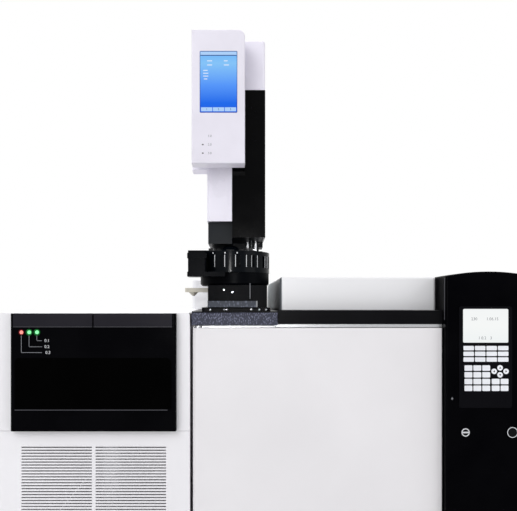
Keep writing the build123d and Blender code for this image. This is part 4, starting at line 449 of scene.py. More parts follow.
def lamp_lenses(name, border_x):
    """Red left of border_x, green right of it, both lit."""
    material, tree, shader, where = new_finish(name)
    right = added(tree, "ShaderNodeMath", {0: along_axis(tree, where, "X"), 1: border_x},
                  operation="GREATER_THAN")
    lens = two_colours(tree, right.outputs[0], linear(255, 138, 128), linear(128, 238, 158))
    wire(tree, shader, {
        "Base Color": lens,
        "Emission Color": lens,
        "Emission Strength": 0.55,
        "Roughness": spread(tree, noise(tree, where, 1.5), 0.18, 0.32),
    })
    return material


lamp_low, lamp_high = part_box("status_lamps")
lamp_lenses("signal_lamp_lenses", lamp_low.x + (lamp_high.x - lamp_low.x) * RED_SHARE)
print("lamps from x", round(lamp_low.x, 4), "to", round(lamp_high.x, 4))

# %% [markdown]
# ## The two displays
# Both are lit from behind, so their colour is emission with a thin gloss on
# top. The large one fades from pale sky at the top to strong blue below; the
# fade is a colour ramp along Z.

# %% Displays
def lit_panel(name, strength, detail):
    """What lit finishes share: glow, a black ground and an uneven gloss, but no colour yet."""
    material, tree, shader, where = new_finish(name)
    wire(tree, shader, {
        "Base Color": (0.01, 0.01, 0.012, 1),
        "Specular IOR Level": 0.01,
        "Emission Strength": strength,
        "Roughness": spread(tree, noise(tree, where, 0.8, detail=detail), 0.12, 0.2),
    })
    return material, tree, shader, where


def lit_fade(name, low_z, high_z, stops, strength):
    """A lit panel whose colour follows height: stops are (part of the height, colour)."""
    material, tree, shader, where = lit_panel(name, strength, detail=1.0)
    height = spread(tree, along_axis(tree, where, "Z"), 0.0, 1.0, low_z, high_z)
    wire(tree, shader, {"Emission Color": ramped(tree, height, stops)})
    return material


screen_low, screen_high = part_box("touch_screen")
lit_fade(
    "touch_screen_light", screen_low.z, screen_high.z,
    [(0.0, (10, 94, 228)), (0.16, (20, 106, 238)), (0.45, (84, 152, 253)),
     (0.8, (134, 198, 252)), (1.0, (112, 184, 252))],
    0.95,
)
lcd_low, lcd_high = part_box("lcd_panel")
lit_fade(
    "lcd_light", lcd_low.z, lcd_high.z,
    [(0.0, (246, 250, 250)), (0.5, (252, 254, 253)), (1.0, (250, 252, 252))], 0.93,
)
print("touch screen", rounded(screen_low, 4), "lcd", rounded(lcd_low, 4))

# %% [markdown]
# ## Speckled apron and smoked window
# The apron under the sampler has a hammered coat: dark blue grey with light
# specks. Voronoi cells give specks with clear edges, which noise can't. The
# window is a smoked sheet: nearly black, very smooth, and a slow ripple in its
# surface keeps the reflections from looking computed.

# %% Speckled apron and smoked window
def speckled(name, ground, speck, size_mm):
    """A hammered coat: short slanting specks on a ground colour."""
    material, tree, shader, where = new_finish(name)
    slant = added(tree, "ShaderNodeMapping", {
        "Rotation": (0.0, math.radians(40), 0.0), "Scale": (1.0, 1.0, 0.45), "Vector": where,
    })
    cells = added(tree, "ShaderNodeTexVoronoi", {
        "Scale": 1.0 / (size_mm * MM), "Vector": slant.outputs["Vector"],
    }).outputs["Distance"]
    near = spread(tree, cells, 1.0, 0.0, 0.12, 0.5)
    wire(tree, shader, {
        "Base Color": two_colours(tree, near, linear(*ground), linear(*speck)),
        "Roughness": 0.45,
        "Specular IOR Level": 0.15,
        "Normal": dent(tree, cells, 0.08, 0.5),
    })
    return material


def smoked(name, rgb, rough):
    """A smoked, polished sheet with a slow ripple."""
    material, tree, shader, where = new_finish(name)
    ripple = noise(tree, where, 45.0, detail=1.0)
    wire(tree, shader, {
        "Specular IOR Level": 0.008,
        "Base Color": two_colours(tree, spread(tree, ripple, 0.0, 1.0),
                                  linear(*rgb), linear(*(v + 1 for v in rgb))),
        "Roughness": spread(tree, ripple, rough, rough + 0.03),
        "Normal": dent(tree, ripple, 0.15, 0.25),
    })
    return material


speckled("speckled_apron_coat", (50, 52, 67), (118, 121, 144), 1.9)
bar_speckle = speckled("speckled_bar_coat", (54, 58, 68), (96, 101, 116), 3.0)
smoked("smoked_window", (1, 1, 1), 0.10)
print("apron and window ready")

# %% [markdown]
# ## A cover with a shaded grey cheek
# The detector cover is white, and its left wall is a grey cheek of painted
# shade and painted reflection of the black tower, which grows darker toward
# the front. It is one moulding, so its finish asks how far left a point is to
# find the wall, and takes the painted grey from a ramp along Y.

# %% Detector cover
# WALL_FROM and WALL_TO bound the painted shade on the cover's left wall.
WALL_FROM, WALL_TO = 2.5, 3.2      # the grey ends between these depths in the wall, in mm


def painted_shade_cheek(name, low, high):
    """White, with painted shade on the left wall that darkens from the back to the front."""
    material, tree, shader, where = new_finish(name)
    # Painted shade: the wall mask picks the left wall, and the grey ramp along Y paints its shade
    # and the black tower's reflection.
    wall = spread(tree, along_axis(tree, where, "X"), 1.0, 0.0,
                  low.x + WALL_FROM * MM, low.x + WALL_TO * MM)
    depth = spread(tree, along_axis(tree, where, "Y"), 0.0, 1.0, low.y, high.y)
    shade_ramp = ramped(tree, depth, [
        (0.0, (104, 108, 114)), (0.3, (116, 121, 125)), (0.6, (150, 158, 160)),
        (1.0, (190, 198, 200)),
    ])
    grain = noise(tree, where, 0.5, detail=1.0)
    wire(tree, shader, {
        "Base Color": two_colours(tree, wall, linear(236, 236, 239), shade_ramp),
        "Roughness": spread(tree, grain, 0.30, 0.40),
        "Normal": dent(tree, grain, 0.02, 0.4),
    })
    return material


detector_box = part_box("detector_cover")
painted_shade_cheek("detector_cover_painted_shade", *detector_box)
print("detector cover", [rounded(corner, 4) for corner in detector_box])

# %% [markdown]
# ## Dressing the solid pieces
# Every rigid piece keeps its shape and takes one of the finishes above. The
# table is grouped by finish, as a paint shop would hang the parts.

# %% Dress every rigid piece
dressing = {
    "white_powder_coat": ["cabinet_cover", "grille_panel", "side_panels"],
    "oven_door_powder_coat": ["oven_door_panel"],
    "grey_powder_coat": ["base_pan", "rear_panel", "cabinet_chassis"],
    "black_deck_coat": ["top_deck", "sampler_plate"],
    "deck_trim_moulding": ["deck_trim"],
    "control_column_moulding": ["column_housing"],
    "keypad_bezel_moulding": ["keypad_bezel"],
    "key_moulding": ["keypad"],
    "button_moulding": ["start_button", "stop_button"],
    "lcd_light": ["lcd_panel"],
    "cabinet_bezel_moulding": ["cabinet_bezel"],
    "smoked_window": ["cabinet_window"],
    "signal_lamp_lenses": ["status_lamps"],
    "detector_cover_painted_shade": ["detector_cover"],
    "detector_cover_moulding": ["pneumatics_cover"],
    "tower_white_moulding": ["tower_shell"],
    "display_white_moulding": ["display_housing"],
    "touch_screen_light": ["touch_screen"],
    "tower_black_moulding": ["side_box", "sampler_pedestal"],
    "tower_spine_moulding": ["tower_spine"],
    "syringe_door_moulding": ["syringe_door"],
    "turret_moulding": ["turret"],
    "vial_cap_moulding": ["vial_caps"],
    "bottle_moulding": ["solvent_bottles"],
    "clamp_lever_moulding": ["clamp_lever"],
    "speckled_apron_coat": ["sampler_apron"],
    "mains_socket_moulding": ["power_fittings", "power_switch"],
    "foot_rubber": ["feet"],
    "brushed_steel_sheet": ["front_frame", "oven_door_plug", "exhaust_flap", "intake_flap",
                            "hinge_pins", "cover_hinges"],
    "turned_steel": ["inlet", "flame_detector", "guide_rods", "transfer_line", "column_cage"],
    "oven_steel": ["oven_liner", "fan_baffle", "oven_fan"],
    "heater_sheath": ["heater_coil"],
    "machined_aluminium": ["analyser"],
    "anodised_carriage": ["syringe_carriage", "syringe_plunger"],
    "brass_fitting": ["gas_fittings"],
    "motor_paint": ["fan_motor"],
    "ceramic_wool": ["oven_insulation"],
    "vial_glass": ["vials", "syringe_barrel"],
    "column_turns": ["capillary_column"],
}
dressed = set()
for finish_name, members in dressing.items():
    finish = bpy.data.materials[finish_name]
    for member in members:
        solid = part_of[member]
        if not solid.material_slots:
            solid.data.materials.append(finish)
        for material_slot in solid.material_slots:
            material_slot.material = finish
        dressed.add(member)
print("dressed", len(dressed), "left plain", sorted(set(part_of) - dressed))

# %% [markdown]
# ## Small flat pieces
# Printed lines, symbols and lit bars are a fraction of a millimetre thick.
# Each is a real solid that sits on its surface, because a solid shows from
# every side and can't flicker against the face it lies on.

# %% Helpers for small pieces
PRINT_T = 0.15                     # thickness of a printed mark, in mm
FONT_RATIO = 1.4                   # a font's size for each unit of its capitals' height


def place(name, mesh, body, slot):
    """The mesh as a piece at the origin that rides on a body."""
    piece = bpy.data.objects.new(name, mesh)
    scene.collection.objects.link(piece)
    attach(piece, body)
    return piece


def keep(name, shape, finish, body="frame", slot=None):
    """A finished shape turned into a piece of one finish."""
    mesh = bpy.data.meshes.new(name)
    shape.to_mesh(mesh)
    shape.free()
    mesh.materials.append(finish)
    return place(name, mesh, body, slot)


def bars(name, boxes, finish, body="frame", slot=None, round_mm=0.0):
    """Boxes (x0, x1, y0, y1, z0, z1) in mm joined in one piece, with rounded edges if asked."""
    shape = bmesh.new()
    for x0, x1, y0, y1, z0, z1 in boxes:
        size = Vector((x1 - x0, y1 - y0, z1 - z0)) * MM
        middle = Vector((x0 + x1, y0 + y1, z0 + z1)) * MM / 2
        made = bmesh.ops.create_cube(shape, size=1.0, matrix=Matrix.LocRotScale(middle, None, size))
        if round_mm:
            edges = list({edge for vert in made["verts"] for edge in vert.link_edges})
            bmesh.ops.bevel(shape, geom=edges, offset=round_mm * MM, segments=2, affect="EDGES")
    return keep(name, shape, finish, body, slot)


def printed(name, words, finish, body="frame", slot=None):
    """Figures on faces that look forward: words are (text, x, y, z, height), in mm, centred."""
    upright = Matrix.Rotation(math.radians(90), 4, "X")
    shape = bmesh.new()
    for text, x, y, z, height in words:
        curve = bpy.data.curves.new(name, "FONT")
        curve.body = text
        curve.size = height * MM * FONT_RATIO
        curve.extrude = PRINT_T / 2 * MM
        curve.align_x = "CENTER"
        curve.align_y = "CENTER"
        curve.resolution_u = 3
        flat = bpy.data.objects.new(name, curve)
        scene.collection.objects.link(flat)
        bpy.context.view_layer.update()
        letters = bpy.data.meshes.new_from_object(
            flat.evaluated_get(bpy.context.evaluated_depsgraph_get()))
        bpy.data.objects.remove(flat)
        letters.transform(Matrix.Translation(Vector((x, y, z)) * MM) @ upright)
        shape.from_mesh(letters)
        bpy.data.meshes.remove(letters)
    return keep(name, shape, finish, body, slot)


# This pale ink prints figures and rings, and it also paints the glint lines on the turret's rim.
pale_ink_and_glint = moulded("pale_print_and_glint_moulding", (206, 208, 212), rough=0.45, grain_mm=0.3, depth_mm=0.004)
grey_ink = moulded("grey_print_moulding", (120, 122, 128), rough=0.5, grain_mm=0.3, depth_mm=0.004)
dark_ink = moulded("dark_print_moulding", (58, 58, 66), rough=0.5, grain_mm=0.3, depth_mm=0.004)
# This grey prints fine lines, and on the column it also paints the highlight of a rounded edge.
line_and_highlight_grey = moulded("fine_line_and_highlight_moulding", (74, 74, 80), rough=0.5, shine=0.2, grain_mm=0.3,
                    depth_mm=0.004)
print("inks ready")

# %% [markdown]
# ## Screws
# A machine like this is held together by some forty pan-head screws. They are
# all alike, so Geometry Nodes put one head on each point of a point list, and
# turn it to look out of its face. A head is a low cone with a dark hexagon of
# painted shade for its socket, and each is turned by its own random angle, as
# real ones are.

# %% Screw heads by Geometry Nodes
HEAD_R, HEAD_H = 3.0, 1.4          # radius and height of a usual screw head, in mm


def screw_tree(metal, socket_shade):
    """A node tree that puts a screw head on every point it is given."""
    tree = bpy.data.node_groups.new("screw_heads", "GeometryNodeTree")
    tree.interface.new_socket("Geometry", in_out="INPUT", socket_type="NodeSocketGeometry")
    for label, value in (("Head radius", HEAD_R * MM), ("Head height", HEAD_H * MM)):
        socket = tree.interface.new_socket(label, in_out="INPUT", socket_type="NodeSocketFloat")
        socket.default_value = value
    tree.interface.new_socket("Facing", in_out="INPUT", socket_type="NodeSocketVector")
    tree.interface.new_socket("Geometry", in_out="OUTPUT", socket_type="NodeSocketGeometry")
    given = tree.nodes.new("NodeGroupInput")

    def scaled(socket, factor):
        return added(tree, "ShaderNodeMath", {0: given.outputs[socket], 1: factor},
                     operation="MULTIPLY").outputs[0]

    head = added(tree, "GeometryNodeMeshCone", {
        "Vertices": 18, "Radius Top": scaled("Head radius", 0.72),
        "Radius Bottom": given.outputs["Head radius"], "Depth": given.outputs["Head height"],
    })
    socket_hole = added(tree, "GeometryNodeMeshCylinder", {
        "Vertices": 6, "Radius": scaled("Head radius", 0.42), "Depth": scaled("Head height", 0.1),
    })
    up = added(tree, "ShaderNodeCombineXYZ", {"Z": scaled("Head height", 1.0)})
    raised = added(tree, "GeometryNodeTransform", {
        "Geometry": socket_hole.outputs["Mesh"], "Translation": up.outputs["Vector"],
    })
    both = tree.nodes.new("GeometryNodeJoinGeometry")
    # The dark hexagon on top of the head is painted shade of the socket hole.
    for shape, finish in ((head.outputs["Mesh"], metal), (raised.outputs["Geometry"], socket_shade)):
        paint = added(tree, "GeometryNodeSetMaterial", {"Material": finish, "Geometry": shape})
        tree.links.new(paint.outputs["Geometry"], both.inputs["Geometry"])
    facing = added(tree, "FunctionNodeAlignRotationToVector", {"Vector": given.outputs["Facing"]})
    angle = added(tree, "FunctionNodeRandomValue", {"Max": math.tau, "Seed": 7}, data_type="FLOAT")
    spin = added(tree, "ShaderNodeCombineXYZ", {"Z": angle.outputs[1]})
    turned = added(tree, "FunctionNodeRotateRotation", {
        "Rotation": facing.outputs["Rotation"], "Rotate By": spin.outputs["Vector"],
    }, rotation_space="LOCAL")
    placed = added(tree, "GeometryNodeInstanceOnPoints", {
        "Points": given.outputs["Geometry"], "Instance": both.outputs["Geometry"],
        "Rotation": turned.outputs["Rotation"],
    })
    real = added(tree, "GeometryNodeRealizeInstances", {"Geometry": placed.outputs["Instances"]})
    added(tree, "NodeGroupOutput", {"Geometry": real.outputs["Geometry"]})
    return tree


def grown(name, points, tree, body="frame", slot=None, **sizes):
    """A point list run through a node tree and turned into a plain mesh that rides on a body."""
    seed_mesh = bpy.data.meshes.new(name + "_points")
    seed_mesh.from_pydata([Vector(p) * MM for p in points], [], [])
    seed = bpy.data.objects.new(name + "_points", seed_mesh)
    scene.collection.objects.link(seed)
    modifier = seed.modifiers.new("grow", "NODES")
    modifier.node_group = tree
    for item in tree.interface.items_tree:
        if item.item_type == "SOCKET" and item.in_out == "INPUT" and item.name in sizes:
            modifier[item.identifier] = sizes[item.name]
    bpy.context.view_layer.update()
    mesh = bpy.data.meshes.new_from_object(
        seed.evaluated_get(bpy.context.evaluated_depsgraph_get()))
    mesh.name = name
    bpy.data.objects.remove(seed)
    print(name, "from", len(points), "points,", len(mesh.polygons), "faces")
    return place(name, mesh, body, slot)


screw_metal = brushed("zinc_screw", (198, 200, 206), rough=0.26, line_mm=0.2)
# The screw sockets' dark finish is painted shade.
screw_socket_shade = moulded("screw_socket_painted_shade", (26, 26, 28), rough=0.5)
screw_heads = screw_tree(screw_metal, screw_socket_shade)

# %% [markdown]
# ## Marks on the detector cabinet
# The black upper front carries a slightly lighter band along its top edge, a
# fine line under it, and a grey key line from each lamp down to a number.
# Names that would stand there are left out: the place stays bare.

# %% Detector cabinet front
BITE = 0.2                         # how far a skin reaches into its face, in mm
SEAM_X = -264.0
SEAM_GAP = 1.2
LAMP_XS = (-374.6, -362.6, -350.6)
LAMP_Z = 405.9
NUMBER_ZS = (374.6, 383.6, 393.0)
KEY_LINE_END = -342.6
KEY_LINE_DROP = 5.2                # a key line starts this far under its lamp
HALF_LINE = 0.35
bezel_low, bezel_high = (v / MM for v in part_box("cabinet_bezel"))
bezel_y = bezel_low.y
print_depth = (bezel_y - PRINT_T, bezel_y + PRINT_T)
callouts = []
for x, z in zip(LAMP_XS, NUMBER_ZS):
    callouts.append((x - HALF_LINE, x + HALF_LINE, *print_depth,
                     z - HALF_LINE, LAMP_Z - KEY_LINE_DROP))
    callouts.append((x - HALF_LINE, KEY_LINE_END, *print_depth, z - HALF_LINE, z + HALF_LINE))
bars("lamp_key_lines", callouts, grey_ink, slot="cabinet_white")
printed("lamp_numbers", [
    (text, x, bezel_y, z, 4.6)
    for text, x, z in zip(("0.3", "0.2", "0.1"), (-333.5, -335.0, -335.0), NUMBER_ZS)
], pale_ink_and_glint, slot="cabinet_white")
halves = ((bezel_low.x + 5, SEAM_X - SEAM_GAP), (SEAM_X + SEAM_GAP, bezel_high.x - 6))
bars("bezel_band_skins", [
    (*half, bezel_y - 0.2, bezel_y + BITE, 415.4, 434.6) for half in halves
], band_grey, slot="bezel_black")
bars("bezel_fine_lines", [
    (*half, bezel_y - PRINT_T, bezel_y + BITE, 413.9, 414.7) for half in halves
] + [(-385.0, -149.0, bezel_y - PRINT_T, bezel_y + BITE, 285.4, 286.3)],
    line_and_highlight_grey, slot="bezel_black")
print("bezel front at y", round(bezel_y, 2))

# %% [markdown]
# ## Marks on the control column
# The keys carry plain figures, the display shows plain readings, and the two
# round buttons have a ring: one with a bar across it, one open. A ring is
# four circles joined by faces, which gives clean edges.

# %% Rings
AROUND = 40                        # sides of a ring


def ring_mark(name, rings, finish, body, slot=None):
    """Flat rings facing forward: rings are (x, y, z, outer radius, inner radius), in mm."""
    shape = bmesh.new()
    angles = [math.tau * i / AROUND for i in range(AROUND)]
    for x, y, z, outer, inner in rings:
        loops = [
            [shape.verts.new(Vector((x + radius * math.cos(a), y - depth,
                                     z + radius * math.sin(a))) * MM) for a in angles]
            for radius, depth in ((outer, PRINT_T), (inner, PRINT_T),
                                  (inner, -PRINT_T), (outer, -PRINT_T))
        ]
        for a, b in zip(loops, loops[1:] + loops[:1]):
            for i in range(AROUND):
                after = (i + 1) % AROUND
                shape.faces.new((a[i], a[after], b[after], b[i]))
    bmesh.ops.recalc_face_normals(shape, faces=shape.faces)
    return keep(name, shape, finish, body, slot)


start_low, start_high = (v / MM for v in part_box("start_button"))
stop_low, stop_high = (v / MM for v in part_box("stop_button"))
start_mid = (start_low + start_high) / 2
stop_mid = (stop_low + stop_high) / 2
left_mid, right_mid = sorted((start_mid, stop_mid), key=lambda p: p.x)
left_body, right_body = ("start", "stop") if start_mid.x < stop_mid.x else ("stop", "start")
ring_mark("left_button_ring", [(left_mid.x, start_low.y, left_mid.z, 6.3, 4.9)],
          pale_ink_and_glint, left_body, "cover_white")
ring_mark("right_button_ring", [(right_mid.x, stop_low.y, right_mid.z, 8.2, 7.2)],
          pale_ink_and_glint, right_body, "cover_white")
bars("left_button_bar", [
    (left_mid.x - 4.6, left_mid.x + 4.6, start_low.y - PRINT_T, start_low.y + PRINT_T,
     left_mid.z - 1.1, left_mid.z + 1.1),
], pale_ink_and_glint, left_body, "cover_white")
print("buttons at", rounded(left_mid), rounded(right_mid))

# %% Key legends and readings
KEY_PITCH_X, KEY_PITCH_Z = 17.7, 8.8           # the twelve wide keys
FIGURE_PITCH_X, FIGURE_PITCH_Z = 13.7, 10.4    # the small keys under them
ARROWS_X, ARROWS_Z = 21.8, 39.2                # middle of the arrows, from the pad's middle and top
SPREAD_X, SPREAD_Z = 9.2, 5.4                  # how far the arrows stand from their middle
keypad_low, keypad_high = (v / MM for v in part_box("keypad"))
lcd_left, lcd_front, lcd_bottom = lcd_low / MM
lcd_right, _, lcd_top = lcd_high / MM
lcd_w, lcd_h = lcd_right - lcd_left, lcd_top - lcd_bottom
printed("lcd_readings", [
    (text, lcd_left + across * lcd_w, lcd_front, lcd_top - down * lcd_h, 4.6)
    for text, across, down in (("230", 0.25, 0.30), ("1.06.15", 0.65, 0.30),
                               ("1", 0.36, 0.866), ("0.2", 0.46, 0.866), ("3", 0.62, 0.866))
], grey_ink, slot="key_grey")
pad_mid = (lcd_left + lcd_right) / 2
pad_front = keypad_low.y + 0.12
pad_top = keypad_high.z
legends = []
for down in range(3):
    for across in range(4):
        legends.append((f"{down * 4 + across + 1:02d}.0", pad_mid + (across - 1.5) * KEY_PITCH_X,
                        pad_front, pad_top - 3.4 - down * KEY_PITCH_Z, 2.9))
for down, figures in enumerate(("123", "456", "789", "-0.")):
    for across, figure in enumerate(figures):
        legends.append((figure, pad_mid - 13.3 + (across - 1) * FIGURE_PITCH_X,
                        pad_front, pad_top - 34.1 - down * FIGURE_PITCH_Z, 4.2))
for down, pair in enumerate((("10", "+"), ("20", "*"))):
    for across, text in enumerate(pair):
        legends.append((text, pad_mid + ARROWS_X + (across - 0.5) * FIGURE_PITCH_X,
                        pad_front, pad_top - 54.9 - down * FIGURE_PITCH_Z, 3.2))
printed("key_figures", legends, grey_ink, slot="key_grey")
arrows = bmesh.new()
for dx, dz, turn in ((0, SPREAD_Z, 0), (0, -SPREAD_Z, 180), (-SPREAD_X, 0, 90), (SPREAD_X, 0, -90)):
    x, z = pad_mid + ARROWS_X + dx, pad_top - ARROWS_Z + dz
    c, s = math.cos(math.radians(turn)), math.sin(math.radians(turn))
    near, far = (
        [arrows.verts.new(Vector((x + px * c - pz * s, y, z + px * s + pz * c)) * MM)
         for px, pz in ((-1.7, -1.1), (1.7, -1.1), (0.0, 1.7))]
        for y in (pad_front - PRINT_T, pad_front + PRINT_T)
    )
    arrows.faces.new(near)
    arrows.faces.new(far[::-1])
    for i in range(3):
        after = (i + 1) % 3
        arrows.faces.new((near[i], far[i], far[after], near[after]))
bmesh.ops.recalc_face_normals(arrows, faces=arrows.faces)
keep("key_arrows", arrows, dark_ink, slot="key_grey")
column_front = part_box("column_housing")[0].y / MM


def on_column(u, v):
    """X and Z in mm of the spot on the column's front that the viewer sees at (u, v)."""
    away = (column_front - EYE.y / MM) / LENS_PIXELS
    return EYE.x / MM + (u - LEVEL_U) * away, EYE.z / MM - (v - LEVEL_V) * away


# Painted highlight: a pale line down the column's rounded left edge.
edge_highlight_x, _ = on_column(444.5, LEVEL_V)
lens_x, lens_z = on_column(452.1, 398.6)
bars("column_edge_painted_highlight", [
    (edge_highlight_x - HALF_LINE, edge_highlight_x + HALF_LINE, column_front - PRINT_T, column_front + BITE,
     425.0, 490.0),
], line_and_highlight_grey, slot="bezel_black")
bars("column_sensor_lens", [
    (lens_x - 1.3, lens_x + 1.3, column_front - 0.6, column_front + 0.3,
     lens_z - 1.9, lens_z + 1.9),
], grey_ink, slot="bezel_black", round_mm=0.8)
print("keypad from", rounded(keypad_low), "to", rounded(keypad_high))
print("lcd from", rounded(lcd_low / MM), "to", rounded(lcd_high / MM))

# %% [markdown]
# ## What the touch screen shows
# A status bar, rows of readings and three soft keys. They are lit bars a
# tenth of a millimetre thick, so they stay crisp at any distance.

# %% Touch screen contents
def lit(name, rgb, strength=0.95):
    """A lit flat colour with a little unevenness in its gloss."""
    material, tree, shader, _ = lit_panel(name, strength, detail=2.0)
    wire(tree, shader, {"Emission Color": linear(*rgb)})
    return material


# Painted glow: a lit ring on the bezel round each lamp lens stands for the lamps' light spreading
# onto the bezel.
ring_mark("red_lamp_glow", [(LAMP_XS[0], bezel_y, LAMP_Z, 4.3, 3.1)],
          lit("red_glow_light", (96, 10, 12)), "frame", "bezel_black")
ring_mark("green_lamp_glow", [(x, bezel_y, LAMP_Z, 5.0, 3.4) for x in LAMP_XS[1:]],
          lit("green_glow_light", (6, 98, 34)), "frame", "bezel_black")
screen_ink = lit("screen_white_light", (236, 244, 255))
screen_soft = lit("screen_pale_light", (176, 212, 252))
screen_navy = lit("screen_navy_light", (14, 44, 128))
left, face, bottom = screen_low / MM
right, _, top = screen_high / MM
SCREEN_T = 0.1                     # thickness of a lit mark on the screen
SIDE = 1.2                         # from the title bar to the screen's edge
EDGE = 0.8                         # width of the border
SOFT_KEYS = 3
on_face = (face - SCREEN_T, face + SCREEN_T)
bars("screen_title_bar", [(left + SIDE, right - SIDE, *on_face, top - 6.2, top - 1.2)],
     screen_soft, slot="screen_blue")
bars("screen_title_rule", [(left + SIDE, right - SIDE, *on_face, top - 7.4, top - 6.2)],
     screen_navy, slot="screen_blue")
low_border = (face - SCREEN_T / 2, face + SCREEN_T)
bars("screen_border", [
    (left, right, *low_border, bottom, bottom + EDGE),
    (left, right, *low_border, top - EDGE, top),
    (left, left + EDGE, *low_border, bottom + EDGE, top - EDGE),
    (right - EDGE, right, *low_border, bottom + EDGE, top - EDGE),
], screen_navy, slot="screen_blue")
# a row of text is (from the left, length, down from the top)
text_rows = (
    (11.5, 8, 15.5), (11.5, 8, 22.0), (5.5, 7, 30.5), (5.5, 8, 35.0), (5.5, 8, 39.5),
    (6.5, 5.5, 44.0), (38.0, 6, 15.5), (38.0, 8, 22.0),
)
bars("screen_text_rows", [
    (left + x, left + x + length, *on_face, top - down - 0.6, top - down + 0.6)
    for x, length, down in text_rows
], screen_ink, slot="screen_blue")
key_w = (right - left - 6) / SOFT_KEYS
key_lefts = [left + 2 + i * (key_w + 1) for i in range(SOFT_KEYS)]
key_face = face - SCREEN_T * 2
bars("screen_soft_keys", [
    (x, x + key_w, key_face, face + SCREEN_T, bottom + 2.4, bottom + 8.6) for x in key_lefts
], screen_soft, slot="screen_blue")
printed("screen_key_figures", [
    (str(i + 1), x + key_w / 2, key_face, bottom + 5.5, 3.0) for i, x in enumerate(key_lefts)
], screen_navy, slot="screen_blue")
print("screen", round(right - left, 1), "by", round(top - bottom, 1), "mm")

# %% [markdown]
# ## Marks below the touch screen
# Three figures in a column stand for the names of three indicators, and the
# lower two have a dark dot beside them.

# %% Display indicators
FIGURE_ZS = (714.0, 700.5, 687.0)
DOT_W, DOT_H = 2.6, 2.0
display_low, display_high = (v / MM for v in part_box("display_housing"))
display_front = display_low.y
dots_x, figures_x = (
    display_low.x + part * (display_high.x - display_low.x) for part in (0.21, 0.34)
)
bars("display_indicator_dots", [
    (dots_x - DOT_W / 2, dots_x + DOT_W / 2, display_front - 0.2, display_front + BITE,
     z - DOT_H / 2, z + DOT_H / 2) for z in FIGURE_ZS[1:]
], dark_ink, slot="display_white", round_mm=0.15)
printed("display_figures", [
    (text, figures_x, display_front, z, 3.6) for text, z in zip(("1.0", "2.0", "3.0"), FIGURE_ZS)
], grey_ink, slot="display_white")
print("display from", rounded(display_low), "to", rounded(display_high))

# %% [markdown]
# ## Where the screws go
# Rows of screws follow the edges of the sheets they hold, a set distance in
# from the edge and at an even pitch, as a press tool would place them.

# %% Place the screws
def row(first, last, count):
    """Evenly spaced points from first to last, both included."""
    return [tuple(a + (b - a) * i / (count - 1) for a, b in zip(first, last)) for i in range(count)]


REAR_Y = 270.0                     # where the flat rear face is
SIDES_END = 250                    # how far back the rows on the sides go
INSET = 8.0
SUNK = 1.46                        # how deep a side screw is let in, so the machine grows no wider
rear_low, rear_high = (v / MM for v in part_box("rear_panel"))
sides_low, sides_high = (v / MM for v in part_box("side_panels"))
cover_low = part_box("cabinet_cover")[0] / MM
rear_x0, rear_x1 = rear_low.x + INSET, rear_high.x - INSET
rear_points = []
for z in (rear_low.z + INSET, rear_high.z - INSET):
    rear_points += row((rear_x0, REAR_Y, z), (rear_x1, REAR_Y, z), 6)
for x in (rear_x0, rear_x1):
    rear_points += row((x, REAR_Y, rear_low.z + 110), (x, REAR_Y, rear_high.z - 110), 2)
grown("rear_panel_screws", rear_points, screw_heads, slot="steel", Facing=(0, 1, 0))
right_points = []
for z in (sides_low.z + INSET, sides_high.z - INSET):
    x = sides_high.x - SUNK
    right_points += row((x, sides_low.y + 130, z), (x, SIDES_END, z), 4)
grown("right_side_screws", right_points, screw_heads, slot="steel", Facing=(1, 0, 0))
left_points = []
for z, count in ((cover_low.z + 12, 5), (300, 2)):
    x = cover_low.x + SUNK
    left_points += row((x, -230, z), (x, SIDES_END, z), count)
grown("left_side_screws", left_points, screw_heads, slot="steel", Facing=(-1, 0, 0))
plate_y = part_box("sampler_plate")[0].y / MM
plate_points = [(x, plate_y, 440.6) for x in (-84.0, -62.0, -57.5, -19.4, -6.2, 4.5)]
grown("sampler_plate_screws", plate_points, screw_heads, slot="steel", Facing=(0, -1, 0),
      **{"Head radius": 1.5 * MM, "Head height": 0.7 * MM})

# %% [markdown]
# ## The sampler's pedestal and turret
# A hammered bar faces the foot of the pedestal, with two small screws above
# it. The turret has pale lines round its rim, which are painted glints of its
# flute edges, and three studs above them at the front. They belong to the
# turret, so they turn with it: each is a thin block set against the rim and
# turned about the axis.

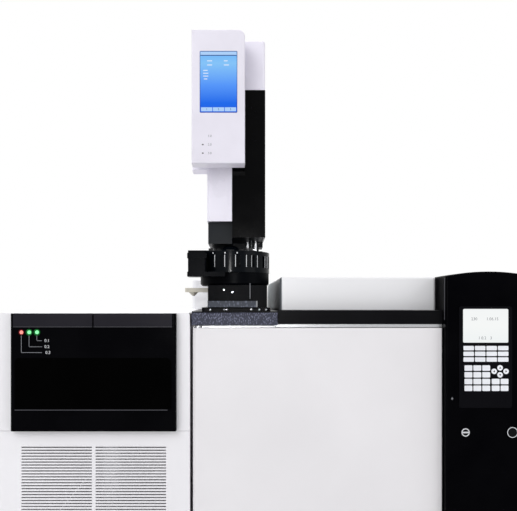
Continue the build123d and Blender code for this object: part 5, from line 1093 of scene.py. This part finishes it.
# %% Pedestal marks
bar_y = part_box("sampler_pedestal")[0].y / MM
block_y = bar_y + 4.0
bar_depth = (bar_y - 0.35, bar_y + 0.3, 444.7, 454.3)
bars("pedestal_bar_skin", [(-87.4, -12.2, *bar_depth)],
     bar_speckle, slot="apron_blue", round_mm=0.25)
bars("pedestal_bar_end", [(-12.0, -9.8, *bar_depth)],
     grey_ink, slot="apron_blue", round_mm=0.25)
bars("pedestal_seam_line", [(-21.7, -20.9, block_y - 0.2, block_y + BITE, 457.5, 482.0)],
     grey_ink, slot="apron_blue")
grown("pedestal_screws", [(-61.8, block_y, 471.8), (-48.8, block_y, 467.8)], screw_heads,
      slot="steel", Facing=(0, -1, 0), **{"Head radius": 1.6 * MM, "Head height": 0.7 * MM})

# %% Turret painted glint lines and studs
NOTCH_ANGLE, NOTCH_DEPTH = 33.75, 3.4          # the line there stands on the floor of a notch
BLOCK_BITE = 0.4                               # how far a block reaches into the rim, in mm
FRONT_ANGLES = [-82, -67, -52, -37, -22, -7.5, 7.6, 23.4, NOTCH_ANGLE, 42, 60, 68, 83]
REAR_ANGLES = [98 + 15 * i for i in range(12)]
turret_low, turret_high = (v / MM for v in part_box("turret"))
turret_axis = Vector(((turret_low.x + turret_high.x) / 2, (turret_low.y + turret_high.y) / 2, 0.0))
rim_r = (turret_high.x - turret_low.x) / 2
turret_shape = bmesh.new()


def rim_block(angle, width, proud, low_z, high_z, radius):
    """A thin block on the rim at an angle from the front, in mm and degrees."""
    thick = proud + BLOCK_BITE
    middle = Vector((0.0, -radius - proud + thick / 2, (low_z + high_z) / 2)) * MM
    size = Vector((width, thick, high_z - low_z)) * MM
    turn = Matrix.Translation(turret_axis * MM) @ Matrix.Rotation(math.radians(angle), 4, "Z")
    bmesh.ops.create_cube(turret_shape, size=1.0,
                          matrix=turn @ Matrix.LocRotScale(middle, None, size))


# Painted glints: a pale line on the rim at each angle, where a flute edge catches the light.
for angle in FRONT_ANGLES + REAR_ANGLES:
    floor_r = rim_r - NOTCH_DEPTH if angle == NOTCH_ANGLE else rim_r
    rim_block(angle, 1.0, 0.15, 508.3, 527.2, floor_r)
for angle in (-24.5, -7.0, 9.8):
    rim_block(angle, 1.9, 0.4, 529.2, 531.4, rim_r)
keep("turret_painted_glints_and_studs", turret_shape, pale_ink_and_glint, body="turret_body", slot="turret_black")
print("turret radius", round(rim_r, 1), "axis", rounded(turret_axis))
